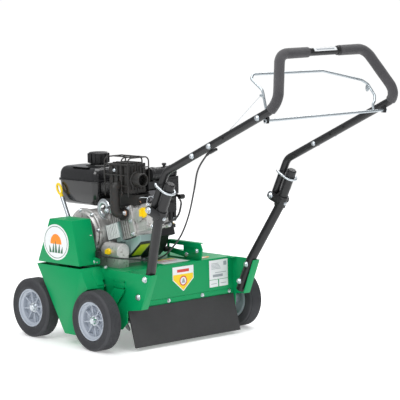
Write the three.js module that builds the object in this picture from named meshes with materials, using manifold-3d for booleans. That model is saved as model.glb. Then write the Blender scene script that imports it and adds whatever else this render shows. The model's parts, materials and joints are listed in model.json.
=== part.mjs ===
// Walk-behind lawn dethatcher (power rake): a sheet-steel deck on four wheels, a horizontal-shaft
// engine that drives a reel of free-swinging flails through a V-belt, and a folding handle.
// Millimetres, +Z up, +X the machine's left (the belt side), +Y rearward, towards the operator.
import * as THREE from 'three';
import { mergeVertices } from 'three/addons/utils/BufferGeometryUtils.js';
import Module from 'manifold-3d';

const wasm = await Module();
wasm.setup();

// ---- Driving dimensions -------------------------------------------------------------------
const WHEEL_R = 101.6; // 8 inch wheels
const TYRE_W = 56;
const RIM_R = 66;
const TRACK_OUT = 348; // outer face of a tyre from the centre plane
const FRONT_AXLE_Y = -332;
const REAR_AXLE_Y = -4;
const AXLE_R = 8;
const DECK_TILT = 1.9; // degrees nose down, in the working setting
const GAP = 0.3; // clearance between solids that touch

const SHEET = 3;
const PLATE_X = 246.6; // outer face of a side plate
const DECK_TOP = 262;
const DECK_FRONT = -350;
const PANEL_Y = 64; // outer face of the rear panel

const REEL = { y: -110, z: 92 }; // reel axis, deck frame
const REEL_SHAFT_R = 12.5;
const FLAIL_ROWS = 4;
const FLAIL_PIN_CIRCLE = 38;
const FLAIL_LENGTH = 40; // from the pin to the tip
const CRANK = { y: -190, z: 368 }; // crankshaft axis, deck frame
const ENGINE_PULLEY_R = 38;
const REEL_PULLEY_R = 45;
const BELT_X = [268, 278];
const IDLER = { pivot: [-58, 196], wheel: [-79.5, 249], r: 17 };

const AXLE_PIVOT = { y: -58, z: 78 }; // rear swing arm pivot, deck frame
const CYLINDER_TILT = 15; // degrees, cylinder above the horizontal

const LOWER_TUBE_R = 15.9; // 1 1/4 inch
const UPPER_TUBE_R = 12.7; // 1 inch
const HANDLE_X = 272.5; // centre plane of a handle tube
const FOLD_PIVOT = { y: 232, z: 494 };
const TUBE_DIR = [0, 0.434, 0.901]; // run of both tubes between pivot and lock ring
const FOAM_R = 16.5;
const BAIL_PIVOT = { y: 745, z: 820 };
const BAIL_R = 4.2;

// ---- Materials ----------------------------------------------------------------------------
const paint = (color, roughness = 0.5, metalness = 0) =>
  new THREE.MeshStandardMaterial({ color, roughness, metalness });
const GREEN = paint(0x00954a, 0.35);
const BLACK_STEEL = paint(0x2c2c2e, 0.5);
const BLACK_PLASTIC = paint(0x1e1e20, 0.45);
const RUBBER = paint(0x2f2f33, 0.85);
const FOAM = paint(0x3b393c, 0.95);
const ZINC = paint(0xc9d3da, 0.3, 0.9);
const ALUMINIUM = paint(0xb9b7b4, 0.45, 0.8);
const RIM_GREY = paint(0x9aa3ad, 0.5);
const YELLOW = paint(0xf4cf1c, 0.4);
const DARK_STEEL = paint(0x5b5d60, 0.45, 0.8);

// ---- Shape helpers ------------------------------------------------------------------------
const rad = THREE.MathUtils.degToRad;

/** Closed geometry to a manifold solid. */
function solid(geometry) {
  let g = geometry.clone();
  g.deleteAttribute('normal');
  g.deleteAttribute('uv');
  g = mergeVertices(g, 1e-4);
  return new wasm.Manifold(new wasm.Mesh({
    numProp: 3,
    vertProperties: new Float32Array(g.attributes.position.array),
    triVerts: new Uint32Array(g.index.array),
  }));
}

/** Manifold solid to geometry. */
function geometryOf(manifold) {
  const mesh = manifold.getMesh();
  const g = new THREE.BufferGeometry();
  g.setAttribute('position', new THREE.Float32BufferAttribute(mesh.vertProperties, 3));
  g.setIndex(new THREE.Uint32BufferAttribute(mesh.triVerts, 1));
  g.computeVertexNormals();
  return g;
}

const union = (...parts) => geometryOf(parts.map(solid).reduce((a, b) => a.add(b)));
const cut = (from, ...tools) => geometryOf(tools.map(solid).reduce((a, b) => a.subtract(b), solid(from)));

function box(x0, x1, y0, y1, z0, z1) {
  const g = new THREE.BoxGeometry(x1 - x0, y1 - y0, z1 - z0);
  return g.translate((x0 + x1) / 2, (y0 + y1) / 2, (z0 + z1) / 2);
}

/** Outline in (y, z), with optional holes, extruded from x0 to x1. */
function plateX(outline, x0, x1, holes = []) {
  const shape = outline instanceof THREE.Shape ? outline : shapeOf(outline);
  shape.holes.push(...holes);
  const g = new THREE.ExtrudeGeometry(shape, { depth: x1 - x0, bevelEnabled: false, curveSegments: 7 });
  const yzx = new THREE.Matrix4().makeBasis(
    new THREE.Vector3(0, 1, 0), new THREE.Vector3(0, 0, 1), new THREE.Vector3(1, 0, 0));
  return g.applyMatrix4(yzx).translate(x0, 0, 0);
}

const shapeOf = (points) => new THREE.Shape(points.map(([a, b]) => new THREE.Vector2(a, b)));

function circleHole(y, z, r, segments = 16) {
  const path = new THREE.Path();
  const at = (i) => [y + r * Math.cos((2 * Math.PI * i) / segments), z + r * Math.sin((2 * Math.PI * i) / segments)];
  path.moveTo(...at(0));
  for (let i = 1; i < segments; i++) path.lineTo(...at(i));
  return path;
}

/** Round-ended bar between two (y, z) points. */
function capsule([y0, z0], [y1, z1], r, steps = 8) {
  const along = Math.atan2(z1 - z0, y1 - y0);
  const points = [];
  for (const [y, z, start] of [[y1, z1, along - Math.PI / 2], [y0, z0, along + Math.PI / 2]]) {
    for (let i = 0; i <= steps; i++) {
      const a = start + (Math.PI * i) / steps;
      points.push([y + r * Math.cos(a), z + r * Math.sin(a)]);
    }
  }
  return points;
}

/** Cylinder with its axis along x, y or z, from a to b, centred on the other two coordinates. */
function rod(axis, r, a, b, p, q, segments = 16) {
  const g = new THREE.CylinderGeometry(r, r, b - a, segments);
  if (axis === 'x') return g.rotateZ(-Math.PI / 2).translate((a + b) / 2, p, q);
  if (axis === 'y') return g.translate(p, (a + b) / 2, q);
  return g.rotateX(Math.PI / 2).translate(p, q, (a + b) / 2);
}

/** Profile of (radius, x) pairs turned about the X axis through (y, z). */
function turnedX(profile, y, z, segments = 24) {
  const points = profile.map(([r, x]) => new THREE.Vector2(r, x));
  return new THREE.LatheGeometry(points, segments).rotateZ(-Math.PI / 2).translate(0, y, z);
}

/** Straight round bar between two points in space. */
function bar(from, to, r, segments = 10) {
  const a = new THREE.Vector3(...from);
  const b = new THREE.Vector3(...to);
  const g = new THREE.CylinderGeometry(r, r, a.distanceTo(b), segments);
  const turn = new THREE.Quaternion().setFromUnitVectors(
    new THREE.Vector3(0, 1, 0), b.clone().sub(a).normalize());
  return g.applyQuaternion(turn).translate(...a.add(b).multiplyScalar(0.5).toArray());
}

/** Polyline whose corners are rounded with arcs; straight runs take one step each. */
class RoundedPath extends THREE.Curve {
  constructor(corners, radius, arcDegrees = 15) {
    super();
    this.stations = RoundedPath.round(corners.map((c) => new THREE.Vector3(...c)), radius, arcDegrees);
  }

  static round(corners, radius, arcDegrees) {
    const out = [corners[0]];
    for (let i = 1; i < corners.length - 1; i++) {
      const before = corners[i - 1].clone().sub(corners[i]);
      const after = corners[i + 1].clone().sub(corners[i]);
      const turn = Math.PI - before.angleTo(after);
      const steps = Math.max(1, Math.ceil(turn / rad(arcDegrees)));
      const room = Math.min(before.length(), after.length()) / 2.05;
      const trim = Math.min(radius * Math.tan(turn / 2), room);
      const r = trim / Math.tan(turn / 2);
      const u = before.normalize();
      const v = after.normalize();
      const centre = corners[i].clone().addScaledVector(u.clone().add(v).normalize(), Math.hypot(r, trim));
      const start = corners[i].clone().addScaledVector(u, trim).sub(centre);
      const axis = new THREE.Vector3().crossVectors(start, corners[i].clone().addScaledVector(v, trim).sub(centre)).normalize();
      for (let k = 0; k <= steps; k++) out.push(start.clone().applyAxisAngle(axis, (turn * k) / steps).add(centre));
    }
    out.push(corners[corners.length - 1]);
    return out;
  }

  /** The stretch of this path between two station numbers, as a path of its own. */
  stretch(first, last) {
    const part = new RoundedPath([[0, 0, 0], [1, 0, 0]], 0);
    part.stations = this.stations.slice(first, last + 1);
    return part;
  }

  getPoint(t) {
    const s = Math.min(t * (this.stations.length - 1), this.stations.length - 1.000001);
    const i = Math.floor(s);
    return this.stations[i].clone().lerp(this.stations[i + 1], s - i);
  }

  getPointAt(u) { return this.getPoint(u); }

  getSpacedPoints() { return this.stations.map((p) => p.clone()); }

  getTangentAt(u) {
    const i = Math.round(u * (this.stations.length - 1));
    const near = this.stations[Math.max(i - 1, 0)];
    const here = this.stations[i];
    const far = this.stations[Math.min(i + 1, this.stations.length - 1)];
    const back = here.clone().sub(near).normalize();
    const on = far.clone().sub(here).normalize();
    return back.add(on).normalize();
  }
}

/** Round tube along a RoundedPath; inner > 0 leaves it hollow. */
function tube(path, r, sides, inner = 0) {
  const ring = (radius) => Array.from({ length: sides }, (_, i) => {
    const a = (2 * Math.PI * i) / sides;
    return new THREE.Vector2(radius * Math.cos(a), radius * Math.sin(a));
  });
  const shape = new THREE.Shape(ring(r));
  if (inner > 0) shape.holes.push(new THREE.Path(ring(inner)));
  return new THREE.ExtrudeGeometry(shape, { steps: path.stations.length - 1, extrudePath: path });
}

const mirrorX = (geometry) => {
  const g = mergeVertices(geometry.clone());
  g.scale(-1, 1, 1);
  const index = g.index.array;
  for (let i = 0; i < index.length; i += 3) [index[i], index[i + 1]] = [index[i + 1], index[i]];
  return g;
};

// ---- Scene graph --------------------------------------------------------------------------
const machine = new THREE.Group();
const deckFrame = new THREE.Group(); // everything that tilts with the deck
deckFrame.rotation.x = rad(DECK_TILT);
machine.add(deckFrame);

function add(name, geometry, material, parent = machine) {
  const mesh = new THREE.Mesh(geometry, material);
  mesh.name = name;
  parent.add(mesh);
  return mesh;
}

// Point of the ground frame in the deck frame, as (y, z).
function toDeck(y, z) {
  const t = rad(DECK_TILT);
  return [y * Math.cos(t) + z * Math.sin(t), -y * Math.sin(t) + z * Math.cos(t)];
}

// ---- Deck ---------------------------------------------------------------------------------
function buildDeck() {
  const wingTop = [197, DECK_TOP];
  const wingBottom = [144, 142];
  const side = [[DECK_FRONT, DECK_TOP], [DECK_FRONT, 125], [-305, 66], [43, 66], [71, 92], [73, 132],
    wingBottom, wingTop].reverse();
  const frontBore = toDeck(FRONT_AXLE_Y, WHEEL_R);
  const rearAxle = toDeck(REAR_AXLE_Y, WHEEL_R);
  const slot = [[-14, -20], [16, -20], [16, 10], [-14, 10]].map(([y, z]) => [rearAxle[0] + y, rearAxle[1] + z]);
  const holes = () => [
    circleHole(REEL.y, REEL.z, 18),
    circleHole(...frontBore, AXLE_R + 0.6),
    new THREE.Path(slot.map(([y, z]) => new THREE.Vector2(y, z))),
  ];
  const inner = PLATE_X - SHEET;
  const edge = new THREE.Vector2(wingTop[0] - wingBottom[0], wingTop[1] - wingBottom[1]).normalize();
  const lip = [-edge.y * SHEET, edge.x * SHEET];
  const flange = [wingBottom, wingTop, [wingTop[0] + lip[0] - 0.5, DECK_TOP],
    [wingBottom[0] + lip[0], wingBottom[1] + lip[1]]];
  const parts = [
    box(-PLATE_X, PLATE_X, DECK_FRONT, PANEL_Y, DECK_TOP - SHEET, DECK_TOP),
    box(-PLATE_X, PLATE_X, PANEL_Y - SHEET, PANEL_Y, 128, DECK_TOP),
    box(-PLATE_X, PLATE_X, DECK_FRONT, DECK_FRONT + SHEET, 125, DECK_TOP),
  ];
  for (const sign of [-1, 1]) {
    const span = (a, b) => (sign > 0 ? [a, b] : [-b, -a]);
    parts.push(plateX(side, ...span(inner, PLATE_X), holes()));
    parts.push(plateX(flange, ...span(inner - 27, inner + 1)));
    parts.push(box(...span(PLATE_X - 1, PLATE_X + 3), 11, 67, 207, 231)); // square height plate
    parts.push(rod('x', 6, ...span(PLATE_X - 1, PLATE_X + 10), AXLE_PIVOT.y, AXLE_PIVOT.z, 12));
    parts.push(box(...span(inner - 20, inner + 1), PANEL_Y - 1, PANEL_Y + 18, DECK_TOP - SHEET, DECK_TOP));
  }
  add('deck_housing', union(...parts), GREEN, deckFrame);
}

function buildFlap() {
  const outline = [[64.4, 133], [69.4, 133], [76, 105], [87, 66], [103, 8], [98, 8], [82, 65], [71, 104],
    [64.4, 127]].reverse();
  add('rear_flap', plateX(outline, -238, 238), RUBBER, deckFrame);
}

// ---- Belt guards --------------------------------------------------------------------------
const UPPER_GUARD = { x: [247, 330], outline: [[-296, 277], [-72, 277], [-108, 428], [-225, 428]] };
const LOWER_GUARD = { x: [247, 332], deep: 288, top: 269 };

function buildGuards() {
  const wall = 2.5;
  const [x0, x1] = UPPER_GUARD.x;
  const hollow = [[-296 + 4, 270], [-72 - 4, 270], [-110.3, 428 - wall], [-222.7, 428 - wall]];
  add('upper_belt_guard', cut(plateX(UPPER_GUARD.outline, x0, x1), plateX(hollow, x0 - 1, x1 - wall)),
    GREEN, deckFrame);

  // The deep front part ends in an arch around the rear tyre; the shallow part reaches the reel.
  const [wheelY, wheelZ] = toDeck(REAR_AXLE_Y, WHEEL_R);
  const arch = (r) => [105, 125, 145, 165, 185, 203].map((a) =>
    [wheelY + r * Math.cos(rad(a)), wheelZ + r * Math.sin(rad(a))]);
  const { top, deep } = LOWER_GUARD;
  const outer = [[-300, top], [-158, 42], [-100, 42], ...arch(106).reverse(), [-67, top]];
  const shallow = [[-300, top], [-158, 42], [-60, 42], [-48, 100], [-30, 214], [-67, top]];
  const outerHollow = [[-295, top + 5], [-154.5, 45], [-104, 45], ...arch(108.6).slice(1).reverse(),
    [-32.6, 205.5], [-73, top + 5]];
  const shallowHollow = [[-295, top + 5], [-154.5, 45], [-62.5, 45], [-50.8, 100], [-33.2, 213], [-73.4, top + 5]];
  const [x2, x3] = LOWER_GUARD.x;
  const shell = cut(union(plateX(outer, x2, x3), plateX(shallow, x2, deep)),
    plateX(outerHollow, x2 - 1, x3 - wall), plateX(shallowHollow, x2 - 1, deep - wall),
    box(x2 - 1, x2 + 11, -98, -20, 30, 228));
  add('lower_belt_guard', shell, GREEN, deckFrame);
}

// ---- Reel and belt drive ------------------------------------------------------------------
function pulleyProfile(r, bore) {
  const [g0, g1] = BELT_X;
  return [[bore, 262], [r, 262], [r, 264], [r - 9, g0], [r - 9, g1], [r, 282], [r, 284], [bore, 284], [bore, 262]];
}

function buildReel() {
  const { y, z } = REEL;
  const pinAngle = (row) => (2 * Math.PI * (row + 0.5)) / FLAIL_ROWS;
  const pinAt = (row) => [y + FLAIL_PIN_CIRCLE * Math.cos(pinAngle(row)), z + FLAIL_PIN_CIRCLE * Math.sin(pinAngle(row))];
  const parts = [
    rod('x', REEL_SHAFT_R, -262, 285, y, z, 16),
    rod('x', 19, -218, 218, y, z, 16),
    rod('x', 50, -220, -214, y, z, 16),
    rod('x', 50, 214, 220, y, z, 16),
  ];
  for (let row = 0; row < FLAIL_ROWS; row++) parts.push(rod('x', 5, -217, 217, ...pinAt(row), 8));
  add('reel_shaft', union(...parts), DARK_STEEL, deckFrame);

  const blade = [[-4, -10], [30, -7], [FLAIL_LENGTH, -3], [FLAIL_LENGTH, 3], [30, 7], [-4, 10]];
  const blades = 8;
  for (let row = 0; row < FLAIL_ROWS; row++) {
    const pieces = [rod('x', 10, -211, 211, 0, 0, 8)];
    for (let i = 0; i < blades; i++) {
      const x = -190 + 52 * i + 8 * (row - 1.5) / 1.5;
      pieces.push(plateX(blade, x, x + 4));
    }
    const comb = cut(union(...pieces), rod('x', 6, -230, 230, 0, 0, 8));
    comb.rotateX(pinAngle(row)).translate(0, ...pinAt(row));
    add(`flail_row_${row + 1}`, comb, DARK_STEEL, deckFrame);
  }

  const bearing = [[13, PLATE_X + GAP], [30, PLATE_X + GAP], [30, 252], [24, 256], [22, 260], [13, 260], [13, PLATE_X + GAP]];
  const left = turnedX(bearing, y, z, 20);
  add('reel_bearing_left', left, DARK_STEEL, deckFrame);
  add('reel_bearing_right', mirrorX(left), DARK_STEEL, deckFrame);
  add('reel_pulley', turnedX(pulleyProfile(REEL_PULLEY_R, 13), y, z, 18), DARK_STEEL, deckFrame);
}

/** Outer tangent loop around two circles, as (y, z) points. */
function beltLoop(a, ra, b, rb, steps = 12) {
  const along = Math.atan2(b.z - a.z, b.y - a.y);
  const spread = Math.acos((ra - rb) / Math.hypot(b.y - a.y, b.z - a.z));
  const points = [];
  for (let i = 0; i <= steps; i++) {
    const t = along + spread + ((2 * Math.PI - 2 * spread) * i) / steps;
    points.push([a.y + ra * Math.cos(t), a.z + ra * Math.sin(t)]);
  }
  for (let i = 0; i <= steps; i++) {
    const t = along - spread + (2 * spread * i) / steps;
    points.push([b.y + rb * Math.cos(t), b.z + rb * Math.sin(t)]);
  }
  return points;
}

function buildDrive() {
  const shaft = rod('x', 12, 206, 292, CRANK.y, CRANK.z, 10);
  add('engine_pulley', union(turnedX(pulleyProfile(ENGINE_PULLEY_R, 8), CRANK.y, CRANK.z, 16), shaft),
    DARK_STEEL, deckFrame);

  const outer = beltLoop(CRANK, ENGINE_PULLEY_R - 0.5, REEL, REEL_PULLEY_R - 0.5);
  const inner = beltLoop(CRANK, ENGINE_PULLEY_R - 8.3, REEL, REEL_PULLEY_R - 8.3);
  const hole = new THREE.Path(inner.map(([y, z]) => new THREE.Vector2(y, z)));
  add('drive_belt', plateX(outer, BELT_X[0] + GAP, BELT_X[1] - GAP, [hole]), RUBBER, deckFrame);

  const [pivot, wheel] = [IDLER.pivot, IDLER.wheel];
  add('idler_arm', union(plateX(capsule(pivot, wheel, 11), 252, 257), rod('x', 6, PLATE_X + GAP, 253, ...pivot, 10),
    rod('x', 5, 256, 288, ...wheel, 10)), BLACK_STEEL, deckFrame);
  const roller = [[5.5, 262], [IDLER.r, 262], [IDLER.r, 284], [5.5, 284], [5.5, 262]];
  add('idler_pulley', turnedX(roller, ...wheel, 20), DARK_STEEL, deckFrame);
}

// ---- Wheels and axles ---------------------------------------------------------------------
function buildWheels() {
  const half = TYRE_W / 2;
  const tyreProfile = [[RIM_R, -22], [74, -half + 1], [90, -half], [98, -half + 3], [WHEEL_R, -half + 10],
    [WHEEL_R, half - 10], [98, half - 3], [90, half], [74, half - 1], [RIM_R, 22], [RIM_R, -22]];
  const barrel = [[57, -24], [RIM_R - GAP, -24], [RIM_R - GAP, 24], [60, 24], [57, 10], [57, -24]];
  const hub = [[AXLE_R + 0.5, -26], [19, -26], [21, 0], [19, 10], [AXLE_R + 0.5, 10], [AXLE_R + 0.5, -26]];
  const spokes = 8;
  const windows = Array.from({ length: spokes }, (_, i) => {
    const mid = (2 * Math.PI * i) / spokes;
    const corners = [[26, -0.19], [53, -0.29], [53, 0.29], [26, 0.19]];
    return new THREE.Path(corners.map(([r, a]) => new THREE.Vector2(r * Math.cos(mid + a), r * Math.sin(mid + a))));
  });
  const disc = Array.from({ length: 20 }, (_, i) =>
    [60 * Math.cos((2 * Math.PI * i) / 20), 60 * Math.sin((2 * Math.PI * i) / 20)]);
  const web = plateX(disc, -3, 5, [...windows, circleHole(0, 0, 14, 12)]);
  const tyre = turnedX(tyreProfile, 0, 0, 20);
  const rim = union(turnedX(barrel, 0, 0, 20), web, turnedX(hub, 0, 0, 12));
  const centre = TRACK_OUT - half;
  for (const [end, y] of [['front', FRONT_AXLE_Y], ['rear', REAR_AXLE_Y]]) {
    for (const [side, sign] of [['left', 1], ['right', -1]]) {
      const place = (g) => (sign > 0 ? g.clone() : mirrorX(g)).translate(sign * centre, y, WHEEL_R);
      add(`${end}_${side}_tyre`, place(tyre), RUBBER);
      add(`${end}_${side}_rim`, place(rim), RIM_GREY);
    }
  }
}

/** Axle shaft with a hexagon nut outside each hub. */
function axleShaft(y, z) {
  const nutFace = TRACK_OUT - TYRE_W / 2 + 10 + GAP;
  const nut = (x0, x1) => rod('x', 12, x0, x1, y, z, 6);
  return [rod('x', AXLE_R, -nutFace - 11, nutFace + 11, y, z, 10), nut(nutFace, nutFace + 9), nut(-nutFace - 9, -nutFace)];
}

function buildAxles() {
  add('front_axle', union(...axleShaft(FRONT_AXLE_Y, WHEEL_R)), ZINC);

  // Bell-crank arms: pivot at the front, stub for the wheel behind it, strap up to the height plate.
  const [axleY, axleZ] = toDeck(REAR_AXLE_Y, WHEEL_R);
  const strap = [[16.5, 205], [-73, 98], [-76, 80], [-66, 62], [-46, 62], [-36, 77], [71, 205]];
  const armX = [PLATE_X + 3.8, PLATE_X + 8.8];
  const parts = axleShaft(axleY, axleZ);
  for (const sign of [1, -1]) {
    const [a, b] = sign > 0 ? armX : [-armX[1], -armX[0]];
    const eye = rod('x', 6.8, a - 1, b + 1, AXLE_PIVOT.y, AXLE_PIVOT.z, 10);
    parts.push(cut(union(plateX(strap, a, b), rod('x', 22, a, b, axleY, axleZ, 14)), eye));
  }
  add('rear_axle', union(...parts), GREEN, deckFrame);
}

function buildDepthControl() {
  const [x0, x1] = [-100, -95];
  const outline = [[-112, DECK_TOP + GAP], [62, DECK_TOP + GAP], [70, 300], [60, 322], [-112, 322]];
  const window = new THREE.Path([[-103, 266], [-26, 266], [-26, 308], [-103, 308]].map(([y, z]) => new THREE.Vector2(y, z)));
  const pivot = [-16, 279];
  const pin = rod('x', 5, x1 - 1, -86, ...pivot, 10);
  add('depth_bracket', union(plateX(outline, x0, x1, [window]), box(x0 - 14, x1, -112, 58, 319, 322), pin,
    rod('x', 8, x1 - 1, -88, 38, 294, 6)), GREEN, deckFrame);
  const lever = plateX(capsule(pivot, [-104, 291], 9), -94, -89);
  add('depth_lever', cut(lever, rod('x', 5.6, -96, -87, ...pivot, 10)), GREEN, deckFrame);
}

// ---- Handle -------------------------------------------------------------------------------
const lowerTubePath = new RoundedPath([[227, 112, 156], [227, 165, 268], [HANDLE_X, 255, 455], [HANDLE_X, 317, 585.6]], 60, 12);
const handleKnee = [267, 802, 868];
const riserTop = [188, 727, 1019];
const handleSide = [[HANDLE_X, 227.3, 484.2], [HANDLE_X, 294, 622.8], handleKnee, riserTop];
const upperHandlePath = new RoundedPath(
  [...handleSide, ...handleSide.map(([x, y, z]) => [-x, y, z]).reverse()], 50, 14);

function buildHandle() {
  const lower = tube(lowerTubePath, LOWER_TUBE_R, 12);
  add('lower_handle_tube_left', lower, BLACK_STEEL);
  add('lower_handle_tube_right', mirrorX(lower), BLACK_STEEL);

  const lugs = [];
  const bores = [];
  for (const sign of [1, -1]) {
    const span = (a, b) => (sign > 0 ? [a, b] : [-b, -a]);
    lugs.push(box(...span(256, 264), 737, 753, 812, 836));
    bores.push(rod('x', BAIL_R + 0.8, ...span(250, 272), BAIL_PIVOT.y, BAIL_PIVOT.z, 10));
    bores.push(rod('x', 4.6, ...span(HANDLE_X - 20, HANDLE_X + 20), FOLD_PIVOT.y, FOLD_PIVOT.z, 10));
  }
  add('upper_handle', cut(union(tube(upperHandlePath, UPPER_TUBE_R, 10), ...lugs), ...bores), BLACK_STEEL);

  // Clamp on the lower tube whose two cheeks hold the fold pivot bolt.
  const collarAt = (s) => [HANDLE_X, 266 + TUBE_DIR[1] * s, 478 + TUBE_DIR[2] * s];
  const cheeks = [-1, 1].map((side) => {
    const x = HANDLE_X + side * 18.4;
    return plateX(capsule([FOLD_PIVOT.y, FOLD_PIVOT.z], [268, 482], 15, 5), x - 2, x + 2);
  });
  const bolt = [rod('x', 4, HANDLE_X - 26, HANDLE_X + 26, FOLD_PIVOT.y, FOLD_PIVOT.z, 8),
    rod('x', 8, HANDLE_X + 20, HANDLE_X + 27, FOLD_PIVOT.y, FOLD_PIVOT.z, 6),
    rod('x', 8, HANDLE_X - 27, HANDLE_X - 20, FOLD_PIVOT.y, FOLD_PIVOT.z, 6)];
  const collar = cut(bar(collarAt(-20), collarAt(20), 20.5, 14), bar(collarAt(-25), collarAt(25), LOWER_TUBE_R + 1.1, 14));
  const clamp = union(collar, ...cheeks, ...bolt);
  add('fold_bracket_left', clamp, BLACK_STEEL);
  add('fold_bracket_right', mirrorX(clamp), BLACK_STEEL);

  // Stretched steel ring that ties both tubes together. It stays on the lower tube and is open in
  // front, by just over the upper tube's width, so that the folding handle can leave it.
  const ring = new THREE.TorusGeometry(23, 4.2, 6, 20).rotateZ(rad(9));
  const position = ring.attributes.position;
  for (let i = 0; i < position.count; i++) position.setY(i, position.getY(i) + Math.sign(position.getY(i)) * 15);
  const mouth = UPPER_TUBE_R + 0.8;
  const open = cut(ring, box(-mouth, mouth, -48, -15, -8, 8));
  open.rotateX(Math.atan2(-TUBE_DIR[1], TUBE_DIR[2])).translate(HANDLE_X, 290.7, 569.4);
  add('lock_ring_left', open, ZINC);
  add('lock_ring_right', mirrorX(open), ZINC);

  const gripEnd = 68;
  const stations = upperHandlePath.stations;
  const first = stations.findIndex((p) => p.y > 766);
  const last = stations.findIndex((p) => p.x < gripEnd) - 1;
  const grip = upperHandlePath.stretch(first, last);
  grip.stations.push(new THREE.Vector3(gripEnd, riserTop[1], riserTop[2]));
  const foam = tube(grip, FOAM_R, 10, UPPER_TUBE_R + 0.9);
  add('foam_grip_left', foam, FOAM);
  add('foam_grip_right', mirrorX(foam), FOAM);
}

// Clutch bail: a hoop welded to a cross rod that turns in the lugs under the tubes.
function buildBail() {
  const { y, z } = BAIL_PIVOT;
  const hoop = new RoundedPath([[250, y, z], [250, 733, 852], [250, 716, 911], [250, 666, 942], [236, 659, 955],
    [-60, 666, 951], [-232, 672, 914], [-250, 684, 900], [-250, 714, 866], [-236, 727, 849], [-222, 733, 841],
    [-213, y, z]], 14, 30);
  add('clutch_bail', union(tube(hoop, BAIL_R, 6), rod('x', BAIL_R, -268, 268, y, z, 6),
    bar([252, 724, 893], [252, 709, 895], 4.6, 6)), ZINC);
}

const cableRoute = [[255.5, 494, 709], [257, 470, 690], [257, 430, 640], [253, 408, 575], [250, 379, 491],
  [240, 330, 418], [225, 262, 362], [205, 200, 330], [202, 140, 310], [212, 60, 304], [236, 0, 303],
  [254, -44, 306], [254, -61.4, 308]];

function buildClutchCable() {
  add('clutch_cable', tube(new RoundedPath(cableRoute, 120, 14), 2.8, 6), BLACK_PLASTIC);
  add('clutch_inner_wire', bar([255.5, 496, 711], [252, 707, 891], 1, 5), ZINC);
  const clip = box(-1, 9, -18, 18, -8, 0);
  const seat = UPPER_TUBE_R + 0.6;
  const mesh = add('cable_clip', clip.translate(0, 0, -seat), BLACK_PLASTIC);
  mesh.position.set(262, 503, 723.7);
  mesh.rotation.x = Math.atan2(handleKnee[2] - 622.8, handleKnee[1] - 294);
  add('cable_anchor', box(250, 258, -74, -52, 298, 322), BLACK_STEEL, deckFrame);
}

// ---- Engine -------------------------------------------------------------------------------
// Moves a geometry built along the cylinder axis (u along Y, w along Z) onto the crank axis.
const alongCylinder = (g) => g.rotateX(rad(CYLINDER_TILT)).translate(0, CRANK.y, CRANK.z);

function buildEngineBlock() {
  const { y, z } = CRANK;
  const base = DECK_TOP + GAP;
  const tubeFoot = [186, -270, 345];
  const tubeMouth = [186, -337, 480];
  const block = union(rod('x', 80, 60, 196, y, z, 28), box(52, 196, -285, -80, base, 302),
    box(60, 190, -250, -80, 290, 340), rod('y', 27, -93, -8, 190, 318, 18), box(162, 205, -70, -14, base, 300),
    bar(tubeFoot, tubeMouth, 6, 10));
  add('engine_crankcase', cut(block, bar([186, -297, 399.4], [186, -342.3, 490.7], 3.6, 8)), ALUMINIUM, deckFrame);

  const cover = [[13, 196 + GAP], [84, 196 + GAP], [84, 208], [72, 216], [42, 218], [36, 228], [13, 228], [13, 196 + GAP]];
  add('engine_side_cover', turnedX(cover, y, z, 22), ALUMINIUM, deckFrame);

  const fins = [box(60, 156, 78, 184, -44, 44)];
  for (let i = 0; i < 8; i++) fins.push(box(50, 166, 100 + 11 * i, 104 + 11 * i, -54, 54));
  const jacket = cut(alongCylinder(union(...fins)), rod('x', 80 + GAP, 40, 180, y, z, 40));
  add('cylinder_fins', jacket, ALUMINIUM, deckFrame);

  const head = union(box(54, 164, 185, 214, -52, 52), box(64, 152, 213, 272, -42, 42), box(70, 146, 270, 284, -36, 36));
  add('cylinder_head', alongCylinder(head), ALUMINIUM, deckFrame);

  // Air guide under the cylinder, with a slotted block on the outer face of the fins.
  const wedge = [[-79, 308], [-24, 292], [50, 354], [44, 375], [2, 360], [-79, 338]];
  const slotted = alongCylinder(union(box(156, 170, 120, 147, -61, -54.3), box(166 + GAP, 174, 120, 147, -58, -40),
    box(166 + GAP, 174, 82, 147, -44, 8)));
  add('cylinder_shroud', union(plateX(wedge, 104, 160), slotted), ALUMINIUM, deckFrame);
}

function buildBlower() {
  const { y, z } = CRANK;
  const tail = alongCylinder(box(-72, 42, 0, 140, -58, 74));
  const scroll = union(rod('x', 120, -72, 42, y, z, 32), tail, box(-76, -28, -112, -34, 430, 546));
  add('blower_housing', cut(scroll, box(-200, 200, -500, 200, 100, DECK_TOP + 6)), BLACK_PLASTIC, deckFrame);
  const starter = [[0, -110], [76, -108], [88, -96], [88, -72 - GAP], [0, -72 - GAP]];
  add('recoil_starter', turnedX(starter, y, z, 28), BLACK_PLASTIC, deckFrame);
  add('recoil_grip', union(box(-113, -75, -98, -90, 364, 380), box(-106, -82, -91, -76, 366, 378)), YELLOW, deckFrame);
  add('throttle_lever', union(plateX(capsule([-62, 490], [-22, 480], 5), -81, -77),
    rod('x', 9, -94, -74, -18, 479, 10)), BLACK_PLASTIC, deckFrame);
}

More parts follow.
